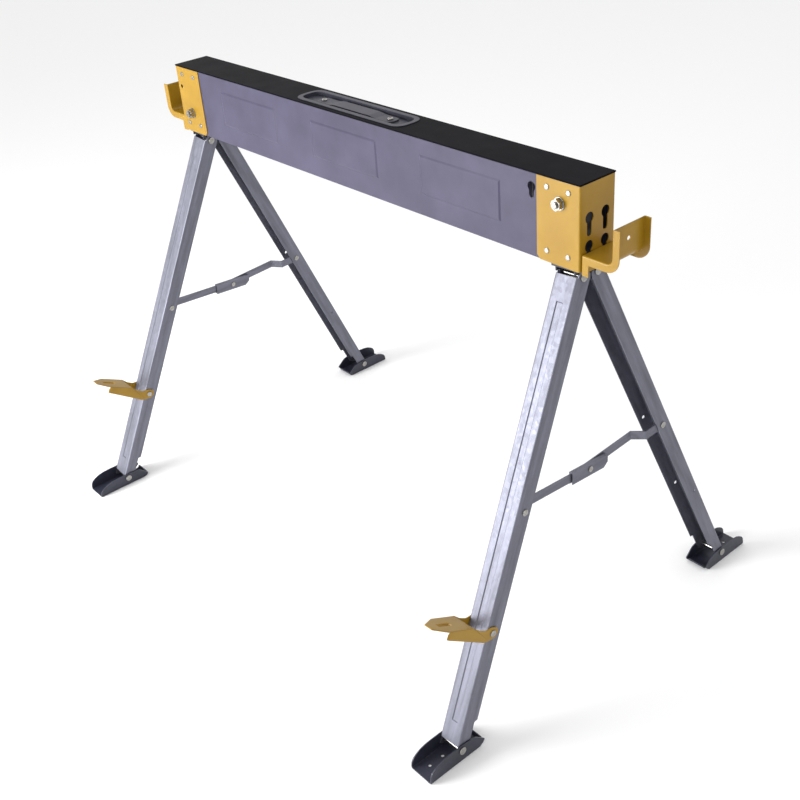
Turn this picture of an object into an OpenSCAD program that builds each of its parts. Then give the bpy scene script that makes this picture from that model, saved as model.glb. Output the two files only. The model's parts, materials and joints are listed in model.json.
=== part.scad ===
// Builders' trestle: a hollow steel beam on two folding pairs of channel legs.
// X runs along the beam with the near end at +X, the front is at -Y, Z is up.
// The origin is on the floor below the middle of the beam. Lengths in mm.

/* [Beam] */
// Height of the beam top above the floor
stand_height = 810; // [800:1:818]
// Length of the beam over both end brackets
beam_length = 995.2; // [980:0.1:1020]
// Width of the beam cap
cap_width = 70.2; // [69.8:0.1:72]
// Depth of the beam from its cap to its open underside
beam_depth = 123; // [122.6:0.1:124]
// Thickness of the beam sheet
beam_sheet = 1.3; // [1.1:0.1:1.4]
// Depth of the folded edge round the cap
cap_edge_depth = 2.6; // [2:0.1:4]
// How far the cap stands out past the brackets
cap_overhang = 0.3; // [0.2:0.1:0.6]
// Length of each raised side panel
panel_length = 167; // [140:1:180]
// Height of each raised side panel
panel_height = 62; // [50:1:66]
// How far a panel stands out of the side
panel_rise = 1.5; // [0.8:0.1:2]
// Distance between panel centres
panel_pitch = 268; // [250:1:275]
// Drop from the cap to a panel's centre
panel_drop = 58; // [52:1:64]
// Distance from the end face to the side keyhole
side_keyhole_in = 87.1; // [84:0.1:97]
// Radius of the round part of the side keyhole
side_keyhole_r = 7; // [6:0.1:7.4]
// Half the width of the side keyhole's slot
side_keyhole_slot_r = 4.3; // [3.6:0.1:4.6]
// Drop from the cap to the round end of the side keyhole
side_keyhole_drop = 22.5; // [20:0.5:26]
// Length of the side keyhole's slot
side_keyhole_slot = 11.5; // [10:0.5:16]

/* [End brackets] */
// Thickness of the bracket sheet
bracket_sheet = 1.6; // [1.4:0.1:1.8]
// Length of a bracket's side plates
bracket_reach = 76.5; // [70:0.5:82]
// Outer bend radius at the bracket's upright corners
bracket_bend_r = 3; // [2.4:0.2:3.6]
// Chamfer at the inner lower corner of each side plate
bracket_chamfer = 6; // [4:0.5:12]
// Radius of a rivet head
rivet_head_r = 4.2; // [3.5:0.1:5]
// Height of a rivet head
rivet_head_h = 1.4; // [1:0.1:2]
// Radius of a rivet shank
rivet_shank_r = 2.4; // [2:0.1:2.8]
// Distance from the end face to the outer rivets
rivet_outer_in = 20; // [17:0.5:24]
// Distance from the end face to the inner rivets
rivet_inner_in = 58; // [54:0.5:64]
// Drop from the cap to the upper rivets
rivet_upper_drop = 15.5; // [14:0.5:18]
// Drop from the cap to the lower rivets
rivet_lower_drop = 106.5; // [104:0.5:109]
// Radius of the open hole in the far front plate
spare_hole_r = 3.6; // [3:0.1:4]
// Distance from the end face to the open hole
spare_hole_in = 12; // [10:0.5:14]
// Drop from the cap to the open hole
spare_hole_drop = 39; // [34:1:44]
// Radius of the round part of an end keyhole
keyhole_r = 8; // [7.7:0.1:8.4]
// Half the width of an end keyhole's slot
keyhole_slot_r = 4.6; // [4.4:0.1:4.8]
// Distance of the end keyholes from the beam's middle plane
keyhole_y = 15.8; // [14:0.1:17]
// Drop from the cap to the upper pair of round holes
keyhole_upper_drop = 50; // [46:0.5:54]
// Drop from the cap to the lower pair of round holes
keyhole_lower_drop = 90; // [88:0.5:92]
// Length of an end keyhole's slot
keyhole_slot = 21.5; // [20:0.5:22]

/* [Main pivots] */
// Distance from the end face to a pivot bolt
bolt_inset = 35.6; // [34:0.1:38]
// Drop from the cap to the near pivot bolt
near_bolt_drop = 33.5; // [33.3:0.1:34]
// Drop from the cap to the far pivot bolt
far_bolt_drop = 86; // [85.6:0.1:86.5]
// Radius of a pivot bolt
bolt_r = 5; // [4.6:0.1:5.4]
// Wall of the turning sleeve on a pivot bolt
sleeve_wall = 1.95; // [1.6:0.05:2.2]
// Radial running clearance of the turning parts
running_fit = 0.06; // [0.04:0.01:0.09]
// Gap left between parts that pass each other
side_gap = 0.3; // [0.25:0.05:0.35]
// Flange radius of a pivot nut
nut_flange_r = 9.6; // [9.5:0.1:11]
// Height of a pivot nut over its flange
nut_height = 8.5; // [7:0.1:9]
// Thickness of a pivot bolt's head
bolt_head_h = 6.4; // [5:0.1:7]
// How far a bolt's tip stands out of its nut
bolt_tip = 3; // [1:0.5:4]

/* [Leg carriages] */
// Width of a carriage along the beam
carriage_width = 47; // [45:0.5:48]
// Thickness of the carriage plate
carriage_sheet = 2; // [1.8:0.1:2.1]
// Height of a carriage above its pivot bolt
carriage_top = 14; // [12:0.5:15]
// Radius of a leg hinge pin
hinge_pin_r = 4; // [3.5:0.1:4.4]
// Height of a pin head
pin_head_h = 1.5; // [1.2:0.1:1.7]
// How far a pin head's radius exceeds its shank
pin_head_rim = 2.4; // [2:0.1:2.6]
// Drop from the cap to the hinge pins, measured along the leg plane
hinge_drop = 139; // [138.5:0.5:139.5]
// Radius of the carriage's ends round the hinge pins
carriage_ear_r = 8.6; // [8:0.1:9]

/* [Legs] */
// Lean of each leg from the middle plane, degrees
leg_lean = 24.65; // [24.4:0.05:24.8]
// Splay of each pair of legs towards its end, degrees
leg_splay = 3.5; // [3.4:0.1:3.6]
// Width of the leg channel over its flanges
leg_width = 39.5; // [39:0.1:39.8]
// Depth of the leg channel from its web to its flange edges
leg_depth = 27; // [26.6:0.1:27.2]
// Thickness of the leg sheet
leg_sheet = 1.5; // [1.3:0.1:1.6]
// Outer bend radius of the leg channel
leg_bend_r = 3; // [2.5:0.1:3.5]
// Gap between the two pairs of flange edges of closed legs
closed_gap = 2; // [1.8:0.1:2.2]
// Width of the long groove pressed into the web
groove_width = 12; // [8:0.5:16]
// Depth of the groove
groove_depth = 0.7; // [0.4:0.1:0.9]
// Distance from the hinge pin to the upper end of the groove
groove_start = 40; // [30:1:80]
// Distance from the groove's lower end to the foot pin
groove_end = 38; // [34:1:60]
// Distance from the hinge pin to the brace hole
brace_hole_s = 342; // [338:1:346]
// Depth of the brace hole behind the web
brace_hole_d = 15.5; // [15:0.1:16]
// Distance from the hinge pin to the peg pivot
peg_pivot_s = 529; // [520:1:534]
// Depth of the peg pivot behind the web
peg_pivot_d = 9.5; // [9.3:0.1:9.8]

/* [Braces] */
// Width of a brace strip
strip_width = 15; // [13:0.5:15]
// Thickness of a brace strip
strip_sheet = 1.8; // [1.5:0.1:2]
// Dip of the brace's middle below its ends when locked
lock_dip = 10; // [8:0.5:11]
// Length of the sleeve at the middle of the brace
sleeve_length = 80; // [70:1:86]
// Height of the middle sleeve
sleeve_height = 20; // [18:0.5:20]
// Length of the chamfer at the sleeve's lower corner by the back leg
sleeve_corner_long = 9; // [8:0.5:12]
// Height of that chamfer
sleeve_corner_high = 7.5; // [7:0.5:9]
// Radius of a brace pin
brace_pin_r = 3; // [2.6:0.1:3.4]
// Straight length of a front strip from its pin to its bend
front_strip_straight = 8; // [7:0.5:10]
// Length of a front strip's bend
front_strip_bend = 10; // [9:0.5:14]
// Straight length of a back strip from its pin to its bend
back_strip_straight = 38; // [36:1:40]
// Length of a back strip's bend
back_strip_bend = 14; // [12:0.5:16]

/* [Panel pegs] */
// Reach of a peg from its pivot to its nose
peg_reach = 117; // [110:1:122]
// Thickness of the peg sheet
peg_sheet = 1.5; // [1.3:0.1:1.6]
// Upward tilt of a peg at rest, in degrees
peg_tilt = 2.5; // [0:0.5:3]
// Distance from the pivot to the start of a peg's tapered nose
peg_taper = 92; // [88:1:95]
// Half the width of a peg at its nose
peg_nose_half = 8; // [6:0.5:10]
// Distance from the pivot to the start of a peg's top plate
peg_plate = 44; // [44:1:50]
// Length of the slot in a peg's top
peg_slot_length = 26; // [22:1:32]
// Width of the slot in a peg's top
peg_slot_width = 8; // [7.6:0.1:9]
// Distance from the pivot to the far end of that slot
peg_slot_end = 99; // [97:1:104]
// Radius of the peg pivot rivet
peg_rivet_r = 3; // [2.6:0.1:3.4]

/* [Feet] */
// Length of a foot from its pin to its toe
foot_toe = 66; // [60:1:68]
// Length of a foot from its pin to its heel
foot_heel = 45; // [42:0.5:46]
// Height of a foot's side walls above its sole
foot_wall = 28; // [26:0.5:28]
// Thickness of the foot plate
foot_sheet = 1.8; // [1.6:0.1:1.9]
// Height of a foot pin above the floor
foot_pin_height = 18; // [17.8:0.1:18.2]
// Depth of the foot pin behind the leg's web
foot_pin_d = 8; // [7.8:0.1:8.2]
// Radius of a foot pin
foot_pin_r = 4; // [3.5:0.1:4.2]
// Radius of the nail holes in a foot
nail_hole_r = 2.6; // [2:0.1:3]
// Distance between the nail holes
nail_hole_pitch = 26; // [22:0.5:28]
// Distance from the foot pin to the first nail hole
nail_hole_out = 17.7; // [16:0.1:19]
// Length of the narrowed lip at a foot's heel
heel_lip = 12.5; // [12.2:0.1:14]

/* [Timber saddles] */
// Clear length of a saddle's floor, for the timber
saddle_clear = 51; // [48:0.5:56]
// Width of a saddle across the beam
saddle_width = 63; // [58:0.5:64]
// Drop from the cap to the saddle's floor
saddle_floor_drop = 98; // [97.5:0.5:98.5]
// Height of the saddle's outer wall above its floor
saddle_wall = 50; // [44:0.5:54]
// Depth of the flanges along a saddle's edges
saddle_flange = 12; // [10:0.5:13]
// Height of the tab below a saddle's floor
saddle_tab = 29; // [27:0.5:30]
// Thickness of the saddle sheet
saddle_sheet = 1.6; // [1.4:0.1:1.8]
// Radius of the hole in a saddle's outer wall
saddle_hole_r = 3.2; // [2.8:0.1:4]
// Radius of a saddle stud's neck
stud_neck_r = 4; // [3.6:0.1:4]
// Radius of a saddle stud's head
stud_head_r = 7.2; // [6.6:0.1:7.3]

/* [Carry handle] */
// Length over the handle's rim
handle_length = 266; // [250:1:272]
// Width over the handle's rim
handle_width = 54; // [50:0.5:56]
// Depth of the handle's pads below the cap
handle_sink = 6; // [5.4:0.1:6.2]
// Thickness of the handle moulding
handle_wall = 2; // [1.6:0.1:2]
// Width of the handle's rim
handle_rim = 6; // [5:0.5:8]
// Height of the handle's rim above the cap
handle_rim_rise = 1; // [0.8:0.1:1.4]
// Width of the finger strap
strap_width = 24; // [20:0.5:26]
// Thickness of the finger strap
strap_thick = 3.4; // [2.8:0.1:3.6]
// Half the length of the opening below the strap
finger_half = 60; // [52:1:62]
// Distance of the handle screws from the middle of the beam
handle_screw_x = 83; // [80:1:88]

/* [Hidden] */

// End and side marks: near is +1, far is -1; the front leg is -1, the back leg +1.
near = 1;
far = -1;
front = -1;
back = 1;
$fn = 48;
cut = 1;
beam_black = "#26262b";
yellow = "#e2b52c";
zinc = "#c3c6ca";
moulding = "#2b2b30";

// Beam and bracket faces
beam_bottom = stand_height - beam_depth;
end_x = beam_length / 2;
plate_y = cap_width / 2 - cap_overhang;
wall_y = plate_y - bracket_sheet;
inner_y = wall_y - beam_sheet;
shell_x = end_x - bracket_sheet;
cap_under = stand_height - cap_edge_depth;
bolt_x = end_x - bolt_inset;
side_keyhole_x = end_x - side_keyhole_in;
sleeve_r = bolt_r + running_fit + sleeve_wall;

// Leg hinges: closed legs stand back to back inside the beam
hinge_height = stand_height - hinge_drop;
closed_half = leg_depth + closed_gap / 2;
hinge_d = leg_depth / 2;
hinge_y = closed_half - hinge_d;
leg_inner = leg_width / 2 - leg_sheet;
shoe_gap = 0.4;
shoe_inner = leg_width / 2 + shoe_gap;
shoe_outer = shoe_inner + foot_sheet;
foot_s = (hinge_height - foot_pin_height / cos(leg_splay)
  + (hinge_d - foot_pin_d) * sin(leg_lean)) / cos(leg_lean);
web_top_s = 3;
web_end_s = foot_s - 4;
trim_s = foot_s - foot_heel - 2;
trim_depth = foot_pin_d + foot_pin_height - foot_sheet
  - shoe_outer * tan(leg_splay) - 2 * side_gap;
foot_end_r = 10.6;

// Brace: pin places seen from the hinge pins with the legs spread
brace_y = hinge_y + brace_hole_s * sin(leg_lean) - (brace_hole_d - hinge_d) * cos(leg_lean);
brace_drop = brace_hole_s * cos(leg_lean) + (brace_hole_d - hinge_d) * sin(leg_lean);
link_length = sqrt(brace_y * brace_y + lock_dip * lock_dip);
link_angle = asin(lock_dip / link_length);
strip_outer_x = leg_inner - side_gap;
front_strip_x = 1.4;
sleeve_sheet = 1.5;
sleeve_play = 1.2;
sleeve_x0 = front_strip_x - sleeve_play - sleeve_sheet;
sleeve_x1 = front_strip_x + strip_sheet + sleeve_play + sleeve_sheet;
back_strip_x = sleeve_x0 - side_gap - strip_sheet;

// Peg
peg_inner = leg_width / 2 + shoe_gap;
peg_outer = peg_inner + peg_sheet;
peg_under = peg_pivot_d + 0.5;

// Saddle, measured outwards from the end face
saddle_near = side_gap;
saddle_far = saddle_near + saddle_clear;
saddle_bend_r = 9;
stud_drop = keyhole_lower_drop + keyhole_slot;

function bolt_drop(end) = end == near ? near_bolt_drop : far_bolt_drop;
function bolt_z(end) = stand_height - bolt_drop(end);
function hinge_z(end) = hinge_height - bolt_z(end) / cos(leg_splay);
function carriage_low(end) = hinge_z(end) + 13.2;

// A flat outline in the Y-Z plane, given thickness along X from x0 to x1
module side_plate(x0, x1) {
  translate([x0, 0, 0]) rotate([90, 0, 90]) linear_extrude(height = x1 - x0) children();
}

// A round bar along X from x0 to x1
module bar_x(r, x0, x1) {
  translate([x0, 0, 0]) rotate([0, 90, 0]) cylinder(r = r, h = x1 - x0);
}

// A round bar along Y from y0 to y1
module bar_y(r, y0, y1) {
  translate([0, y0, 0]) rotate([-90, 0, 0]) cylinder(r = r, h = y1 - y0);
}

// A hexagonal bar along Y, measured over its flats
module hex_y(flats, y0, y1) {
  translate([0, y0, 0]) rotate([-90, 0, 0])
    cylinder(r = flats / sqrt(3), h = y1 - y0, $fn = 6);
}

// The frame of one leg pair, tilted about its pivot bolt
module pair_frame(end) {
  translate([end * bolt_x, 0, bolt_z(end)]) rotate([0, -end * leg_splay, 0]) children();
}

// The frame of one leg, at its hinge pin with Z up along the leg
module leg_frame(end, side) {
  pair_frame(end) translate([0, side * hinge_y, hinge_z(end)])
    rotate([side * leg_lean, 0, 0]) mirror([0, side == back ? 1 : 0, 0]) children();
}

// A place on a leg: s along it from the hinge pin, d behind its web
module on_leg(end, side, s, d) {
  leg_frame(end, side) translate([0, d - hinge_d, -s]) children();
}

// The beam
module keyhole_outline(r, slot_r, slot) {
  circle(r = r);
  translate([-slot_r, -slot]) square([2 * slot_r, slot]);
  translate([0, -slot]) circle(r = slot_r);
}

module raised_panel(x, side) {
  y0 = side == front ? -wall_y - panel_rise : inner_y + cut / 2;
  translate([x - panel_length / 2, y0, stand_height - panel_drop - panel_height / 2])
    cube([panel_length, panel_rise + beam_sheet - cut / 2, panel_height]);
}

module panel_hollow(x, side) {
  y0 = side == front ? -inner_y - panel_rise : inner_y - cut;
  translate([x - panel_length / 2 + beam_sheet, y0,
      stand_height - panel_drop - panel_height / 2 + beam_sheet])
    cube([panel_length - 2 * beam_sheet, panel_rise + cut, panel_height - 2 * beam_sheet]);
}

module handle_outline(length, width) {
  end_r = width / 2 - 4;
  square([length - 2 * end_r, width], center = true);
  square([length, width - 2 * end_r], center = true);
  for (x = [-1, 1], y = [-1, 1])
    translate([x * (length / 2 - end_r), y * (width / 2 - end_r)]) circle(r = end_r);
}

module beam_shell() {
  color(beam_black) difference() {
    union() {
      translate([-shell_x, -wall_y, beam_bottom]) cube([2 * shell_x, 2 * wall_y, beam_depth]);
      translate([-end_x - cap_overhang, -cap_width / 2, cap_under])
        cube([beam_length + 2 * cap_overhang, cap_width, cap_edge_depth]);
      for (x = [-panel_pitch, 0, panel_pitch], side = [front, back]) raised_panel(x, side);
    }
    translate([-shell_x - cut, -inner_y, beam_bottom - cut])
      cube([2 * shell_x + 2 * cut, 2 * inner_y, beam_depth - beam_sheet + cut]);
    for (x = [-panel_pitch, 0, panel_pitch], side = [front, back]) panel_hollow(x, side);
    translate([0, 0, cap_under - cut]) linear_extrude(height = cap_edge_depth + 2 * cut)
      handle_outline(handle_length - 2 * handle_rim, handle_width - 2 * handle_rim);
    for (end = [near, far]) translate([end * bolt_x, 0, bolt_z(end)])
      bar_y(bolt_r, -wall_y - cut, wall_y + cut);
    for (end = [near, far], side = [front, back]) rivet_places(end, side)
      bar_y(rivet_shank_r, -cut, beam_sheet + bracket_sheet + cut);
    translate([side_keyhole_x, -wall_y - cut, stand_height - side_keyhole_drop])
      rotate([90, 0, 0]) translate([0, 0, -beam_sheet - 2 * cut])
        linear_extrude(height = beam_sheet + 2 * cut)
          keyhole_outline(side_keyhole_r, side_keyhole_slot_r, side_keyhole_slot);
    translate([far * (end_x - spare_hole_in), -wall_y, stand_height - spare_hole_drop])
      bar_y(spare_hole_r, -cut, beam_sheet + cut);
  }
}

// The end brackets
// Rivet places on one side plate, with Y running inwards from the plate's outer face
module rivet_places(end, side) {
  for (in = [rivet_outer_in, rivet_inner_in], drop = [rivet_upper_drop, rivet_lower_drop])
    translate([end * (end_x - in), side * plate_y, stand_height - drop])
      mirror([0, side == back ? 1 : 0, 0]) children();
}

module bracket_plan() {
  difference() {
    union() {
      translate([-bracket_reach, -plate_y])
        square([bracket_reach - bracket_bend_r, 2 * plate_y]);
      translate([-bracket_reach, -plate_y + bracket_bend_r])
        square([bracket_reach, 2 * (plate_y - bracket_bend_r)]);
      for (y = [-1, 1])
        translate([-bracket_bend_r, y * (plate_y - bracket_bend_r)]) circle(r = bracket_bend_r);
    }
    translate([-bracket_reach - cut, -wall_y])
      square([bracket_reach + cut - bracket_sheet, 2 * wall_y]);
  }
}

module end_bracket(end) {
  color(yellow) difference() {
    mirror([end == far ? 1 : 0, 0, 0]) difference() {
      translate([end_x, 0, beam_bottom]) linear_extrude(height = cap_under - beam_bottom)
        bracket_plan();
      translate([end_x - bracket_reach, 0, beam_bottom]) rotate([0, 45, 0])
        cube([bracket_chamfer * sqrt(2), 2 * cap_width, bracket_chamfer * sqrt(2)],
          center = true);
      for (y = [-keyhole_y, keyhole_y], drop = [keyhole_upper_drop, keyhole_lower_drop])
        translate([0, y, stand_height - drop])
          side_plate(end_x - bracket_sheet - cut, end_x + cut)
            keyhole_outline(keyhole_r, keyhole_slot_r, keyhole_slot);
    }
    translate([end * bolt_x, 0, bolt_z(end)]) bar_y(bolt_r, -plate_y - cut, plate_y + cut);
    for (side = [front, back]) rivet_places(end, side)
      bar_y(rivet_shank_r, -cut, bracket_sheet + cut);
    if (end == far)
      translate([end * (end_x - spare_hole_in), -plate_y, stand_height - spare_hole_drop])
        bar_y(spare_hole_r, -cut, bracket_sheet + cut);
  }
}

module bracket_rivets(end) {
  color(zinc) for (side = [front, back]) rivet_places(end, side) {
    bar_y(rivet_shank_r, 0, bracket_sheet + beam_sheet);
    bar_y(rivet_head_r, -rivet_head_h * 0.6, 0);
    bar_y(rivet_head_r * 0.75, -rivet_head_h, 0);
  }
}

// The main pivots
module pivot_bolt(end) {
  color(zinc) translate([end * bolt_x, 0, bolt_z(end)]) {
    bar_y(bolt_r, -plate_y - nut_height - bolt_tip, plate_y);
    hex_y(3.2 * bolt_r, plate_y, plate_y + bolt_head_h);
  }
}

module pivot_nut(end) {
  color(zinc) translate([end * bolt_x, 0, bolt_z(end)]) difference() {
    union() {
      bar_y(nut_flange_r, -plate_y - 1.6, -plate_y);
      hex_y(3 * bolt_r, -plate_y - nut_height, -plate_y);
    }
    bar_y(bolt_r, -plate_y - nut_height - cut, -plate_y + cut);
  }
}

module pivot_sleeve(end) {
  color(zinc) translate([end * bolt_x, 0, bolt_z(end)]) difference() {
    bar_y(sleeve_r, -inner_y + side_gap, inner_y - side_gap);
    bar_y(bolt_r + running_fit, -inner_y, inner_y);
  }
}

// The leg carriages
carriage_inner_y = closed_half + 1.1;
carriage_cross_x = leg_inner - 0.35 - carriage_sheet;

module carriage_cross_outline(end) {
  neck = hinge_z(end) + 6.5;
  translate([-carriage_inner_y - cut / 2, neck])
    square([2 * carriage_inner_y + cut, -sleeve_r - 2 - neck]);
  translate([-hinge_y - carriage_ear_r, hinge_z(end)])
    square([2 * (hinge_y + carriage_ear_r), 7]);
  translate([-hinge_y, hinge_z(end) - carriage_ear_r])
    square([2 * hinge_y, carriage_ear_r + cut / 2]);
  for (y = [-hinge_y, hinge_y]) translate([y, hinge_z(end)]) circle(r = carriage_ear_r);
}

module carriage(end) {
  color(beam_black) pair_frame(end) difference() {
    union() {
      for (y = [-carriage_inner_y - carriage_sheet, carriage_inner_y])
        translate([-carriage_width / 2, y, carriage_low(end)])
          cube([carriage_width, carriage_sheet, carriage_top - carriage_low(end)]);
      for (x = [-carriage_cross_x - carriage_sheet, carriage_cross_x])
        side_plate(x, x + carriage_sheet) carriage_cross_outline(end);
    }
    bar_y(sleeve_r + running_fit, -cap_width, cap_width);
    for (y = [-hinge_y, hinge_y]) translate([0, y, hinge_z(end)])
      bar_x(hinge_pin_r, -leg_width, leg_width);
  }
}

// A pin along X with a head at each end, its heads outside the half width given
module headed_pin(r, half) {
  bar_x(r, -half, half);
  for (x = [-half - pin_head_h, half]) bar_x(r + pin_head_rim, x, x + pin_head_h);
}

module hinge_pins(end) {
  color(zinc) pair_frame(end) for (y = [-hinge_y, hinge_y])
    translate([0, y, hinge_z(end)]) headed_pin(hinge_pin_r, leg_width / 2 + side_gap);
}

// The legs
module channel_outline(width, depth, r) {
  translate([-width / 2, r]) square([width, depth - r]);
  translate([-width / 2 + r, 0]) square([width - 2 * r, r + cut / 2]);
  for (x = [-width / 2 + r, width / 2 - r]) translate([x, r]) circle(r = r);
}

module leg_section() {
  difference() {
    channel_outline(leg_width, leg_depth, leg_bend_r);
    translate([0, leg_sheet])
      channel_outline(2 * leg_inner, leg_depth, leg_bend_r - leg_sheet);
  }
}

module leg_side_outline() {
  circle(r = hinge_d - 0.25);
  translate([-hinge_d, -trim_s]) square([leg_depth, trim_s]);
  translate([-hinge_d, -foot_s]) square([trim_depth, foot_s]);
  translate([foot_pin_d - hinge_d, -foot_s]) circle(r = foot_end_r);
}

module leg_hole(s, d, r) {
  translate([0, d - hinge_d, -s]) bar_x(r, -leg_width, leg_width);
}

module leg(end, side) {
  color(zinc) leg_frame(end, side) difference() {
    intersection() {
      translate([0, -hinge_d, -foot_s - 2 * foot_end_r])
        linear_extrude(height = foot_s + 4 * foot_end_r) leg_section();
      side_plate(-leg_width, leg_width) leg_side_outline();
    }
    translate([-leg_width, -hinge_d - cut, -web_top_s])
      cube([2 * leg_width, leg_bend_r + cut, 2 * hinge_d]);
    translate([-leg_width, -hinge_d - cut, -web_end_s - 3 * foot_end_r])
      cube([2 * leg_width, leg_bend_r + cut, 3 * foot_end_r]);
    translate([-groove_width / 2, -hinge_d - cut, -foot_s + groove_end])
      cube([groove_width, groove_depth + cut, foot_s - groove_end - groove_start]);
    for (z = [-groove_start, -foot_s + groove_end]) translate([0, -hinge_d + groove_depth, z])
      rotate([90, 0, 0]) cylinder(r = groove_width / 2, h = groove_depth + cut);
    leg_hole(0, hinge_d, hinge_pin_r + running_fit);
    leg_hole(brace_hole_s, brace_hole_d, brace_pin_r);
    leg_hole(peg_pivot_s, peg_pivot_d, peg_rivet_r);
    leg_hole(foot_s, foot_pin_d, foot_pin_r);
  }
}

// The rivet that holds a brace strip to the inside of a leg's flange
module brace_pin(end, side) {
  color(zinc) on_leg(end, side, brace_hole_s, brace_hole_d) {
    bar_x(brace_pin_r, strip_outer_x - strip_sheet - side_gap, leg_width / 2);
    bar_x(brace_pin_r + pin_head_rim, leg_width / 2, leg_width / 2 + pin_head_h);
    bar_x(brace_pin_r + 1.6, strip_outer_x - strip_sheet - side_gap - pin_head_h,
      strip_outer_x - strip_sheet - side_gap);
  }
}

module foot_pin(end, side) {
  color(zinc) on_leg(end, side, foot_s, foot_pin_d)
    headed_pin(foot_pin_r, shoe_outer + side_gap);
}

module peg_rivet(end) {
  color(zinc) on_leg(end, front, peg_pivot_s, peg_pivot_d)
    headed_pin(peg_rivet_r, peg_outer + side_gap);
}

// The braces
// The frame of a strip at its leg pin, with Y running along it to the middle of the brace
module strip_frame(end, side) {
  pair_frame(end) translate([0, side * brace_y, hinge_z(end) - brace_drop])
    mirror([0, side == back ? 1 : 0, 0]) rotate([-link_angle, 0, 0]) children();
}

module strip_plan(inner_x, straight, bend) {
  polygon([[strip_outer_x, -9], [strip_outer_x, straight],
    [inner_x + strip_sheet, straight + bend],
    [inner_x + strip_sheet, link_length + 9], [inner_x, link_length + 9],
    [inner_x, straight + bend - 1.4],
    [strip_outer_x - strip_sheet, straight - 1.4], [strip_outer_x - strip_sheet, -9]]);
}

module strip_side() {
  translate([0, -strip_width / 2]) square([link_length, strip_width]);
  circle(r = strip_width / 2);
  translate([link_length, 0]) circle(r = strip_width / 2);
}

module brace_strip(end, side) {
  color(zinc) strip_frame(end, side) difference() {
    intersection() {
      translate([0, 0, -strip_width]) linear_extrude(height = 2 * strip_width)
        if (side == front) strip_plan(front_strip_x, front_strip_straight, front_strip_bend);
        else strip_plan(back_strip_x, back_strip_straight, back_strip_bend);
      side_plate(-leg_width, leg_width) strip_side();
    }
    bar_x(brace_pin_r + running_fit, 0, leg_width);
    translate([0, link_length, 0]) bar_x(brace_pin_r, -leg_width / 2, leg_width / 2);
  }
}

// Sleeve outline, its lower corner by the back leg cut off so that the leg clears it
module sleeve_outline() {
  low = -sleeve_height / 2 - 1;
  half = sleeve_length / 2;
  polygon([[-half, low], [half - sleeve_corner_long, low], [half, low + sleeve_corner_high],
    [half, low + sleeve_height], [-half, low + sleeve_height]]);
}

module brace_sleeve(end) {
  color(zinc) strip_frame(end, front) translate([0, link_length, 0]) difference() {
    side_plate(sleeve_x0, sleeve_x1) sleeve_outline();
    translate([sleeve_x0 + sleeve_sheet, -sleeve_length, -sleeve_height])
      cube([sleeve_x1 - sleeve_x0 - 2 * sleeve_sheet, 2 * sleeve_length,
        sleeve_height * 1.5 - 1 - sleeve_sheet]);
    bar_x(brace_pin_r, -leg_width, leg_width);
  }
}

module brace_rivet(end) {
  color(zinc) strip_frame(end, front) translate([0, link_length, 0]) {
    bar_x(brace_pin_r, sleeve_x0, sleeve_x1);
    bar_x(brace_pin_r + 1.6, sleeve_x1, sleeve_x1 + pin_head_h);
    bar_x(brace_pin_r + 1, sleeve_x0 + sleeve_sheet, front_strip_x);
    bar_x(brace_pin_r + 1, front_strip_x + strip_sheet, sleeve_x1 - sleeve_sheet);
  }
}

// The feet
module foot_frame(end, side) {
  on_leg(end, side, foot_s, foot_pin_d) rotate([leg_lean, 0, 0]) children();
}

// Wall outline: the toe at -Y, the heel at +Y, the pin at the origin
module shoe_wall_outline() {
  translate([0, -foot_pin_height]) polygon([[0.6 - foot_toe, -4], [0.6 - foot_toe, 5],
    [2 - foot_toe, foot_wall - 16], [5 - foot_toe, foot_wall - 11],
    [12 - foot_toe, foot_wall - 6.5], [20 - foot_toe, foot_wall - 3],
    [32 - foot_toe, foot_wall - 0.6], [42 - foot_toe, foot_wall], [6, foot_wall],
    [18, foot_wall - 1.2], [foot_heel - 18, foot_wall - 3.2], [foot_heel - 13, foot_wall - 7],
    [foot_heel, 9.5], [foot_heel - 1, 6.4], [foot_heel - 4, 3.4],
    [foot_heel - 9, 1.6], [foot_heel - 9.6, -4]]);
  circle(r = 11);
}

module sole_outline() {
  translate([0, -foot_pin_height]) polygon([[-foot_toe, -2], [foot_heel - 12, -2],
    [foot_heel - 4, 1.9], [foot_heel - 0.8, 5.2], [foot_heel, 9],
    [foot_heel - foot_sheet, 9], [foot_heel - 0.7 - foot_sheet, 6.1],
    [foot_heel - 3.4 - foot_sheet, 3.4], [foot_heel - 9.8, foot_sheet],
    [-foot_toe, foot_sheet]]);
}

module foot(end, side) {
  nail_x = -4;
  lip_half = leg_inner - side_gap;
  color(beam_black) foot_frame(end, side) difference() {
    union() {
      for (x = [-shoe_outer, shoe_inner]) side_plate(x, x + foot_sheet) shoe_wall_outline();
      intersection() {
        rotate([0, end * leg_splay, 0]) side_plate(-leg_width, leg_width) sole_outline();
        translate([-shoe_inner - cut, -2 * foot_toe, -2 * foot_toe])
          cube([2 * shoe_inner + 2 * cut, 4 * foot_toe, 4 * foot_toe]);
      }
    }
    rotate([0, end * leg_splay, 0]) {
      translate([-2 * leg_width, -2 * foot_toe, -foot_pin_height - 40])
        cube([4 * leg_width, 4 * foot_toe, 40]);
      for (k = [0, 1])
        translate([nail_x, -nail_hole_out - k * nail_hole_pitch, -foot_pin_height - cut])
          cylinder(r = nail_hole_r, h = foot_sheet + 2 * cut);
    }
    // The curled lip passes between the leg's flanges
    for (x = [-shoe_inner, lip_half]) translate([x, foot_heel - heel_lip, -2 * foot_pin_height])
      cube([shoe_inner - lip_half, 2 * heel_lip, 2 * foot_pin_height]);
    bar_x(foot_pin_r + running_fit, -leg_width, leg_width);
  }
}

// The panel pegs
module peg_frame(end) {
  on_leg(end, front, peg_pivot_s, peg_pivot_d) mirror([0, 1, 0]) rotate([peg_tilt, 0, 0])
    children();
}

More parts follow.
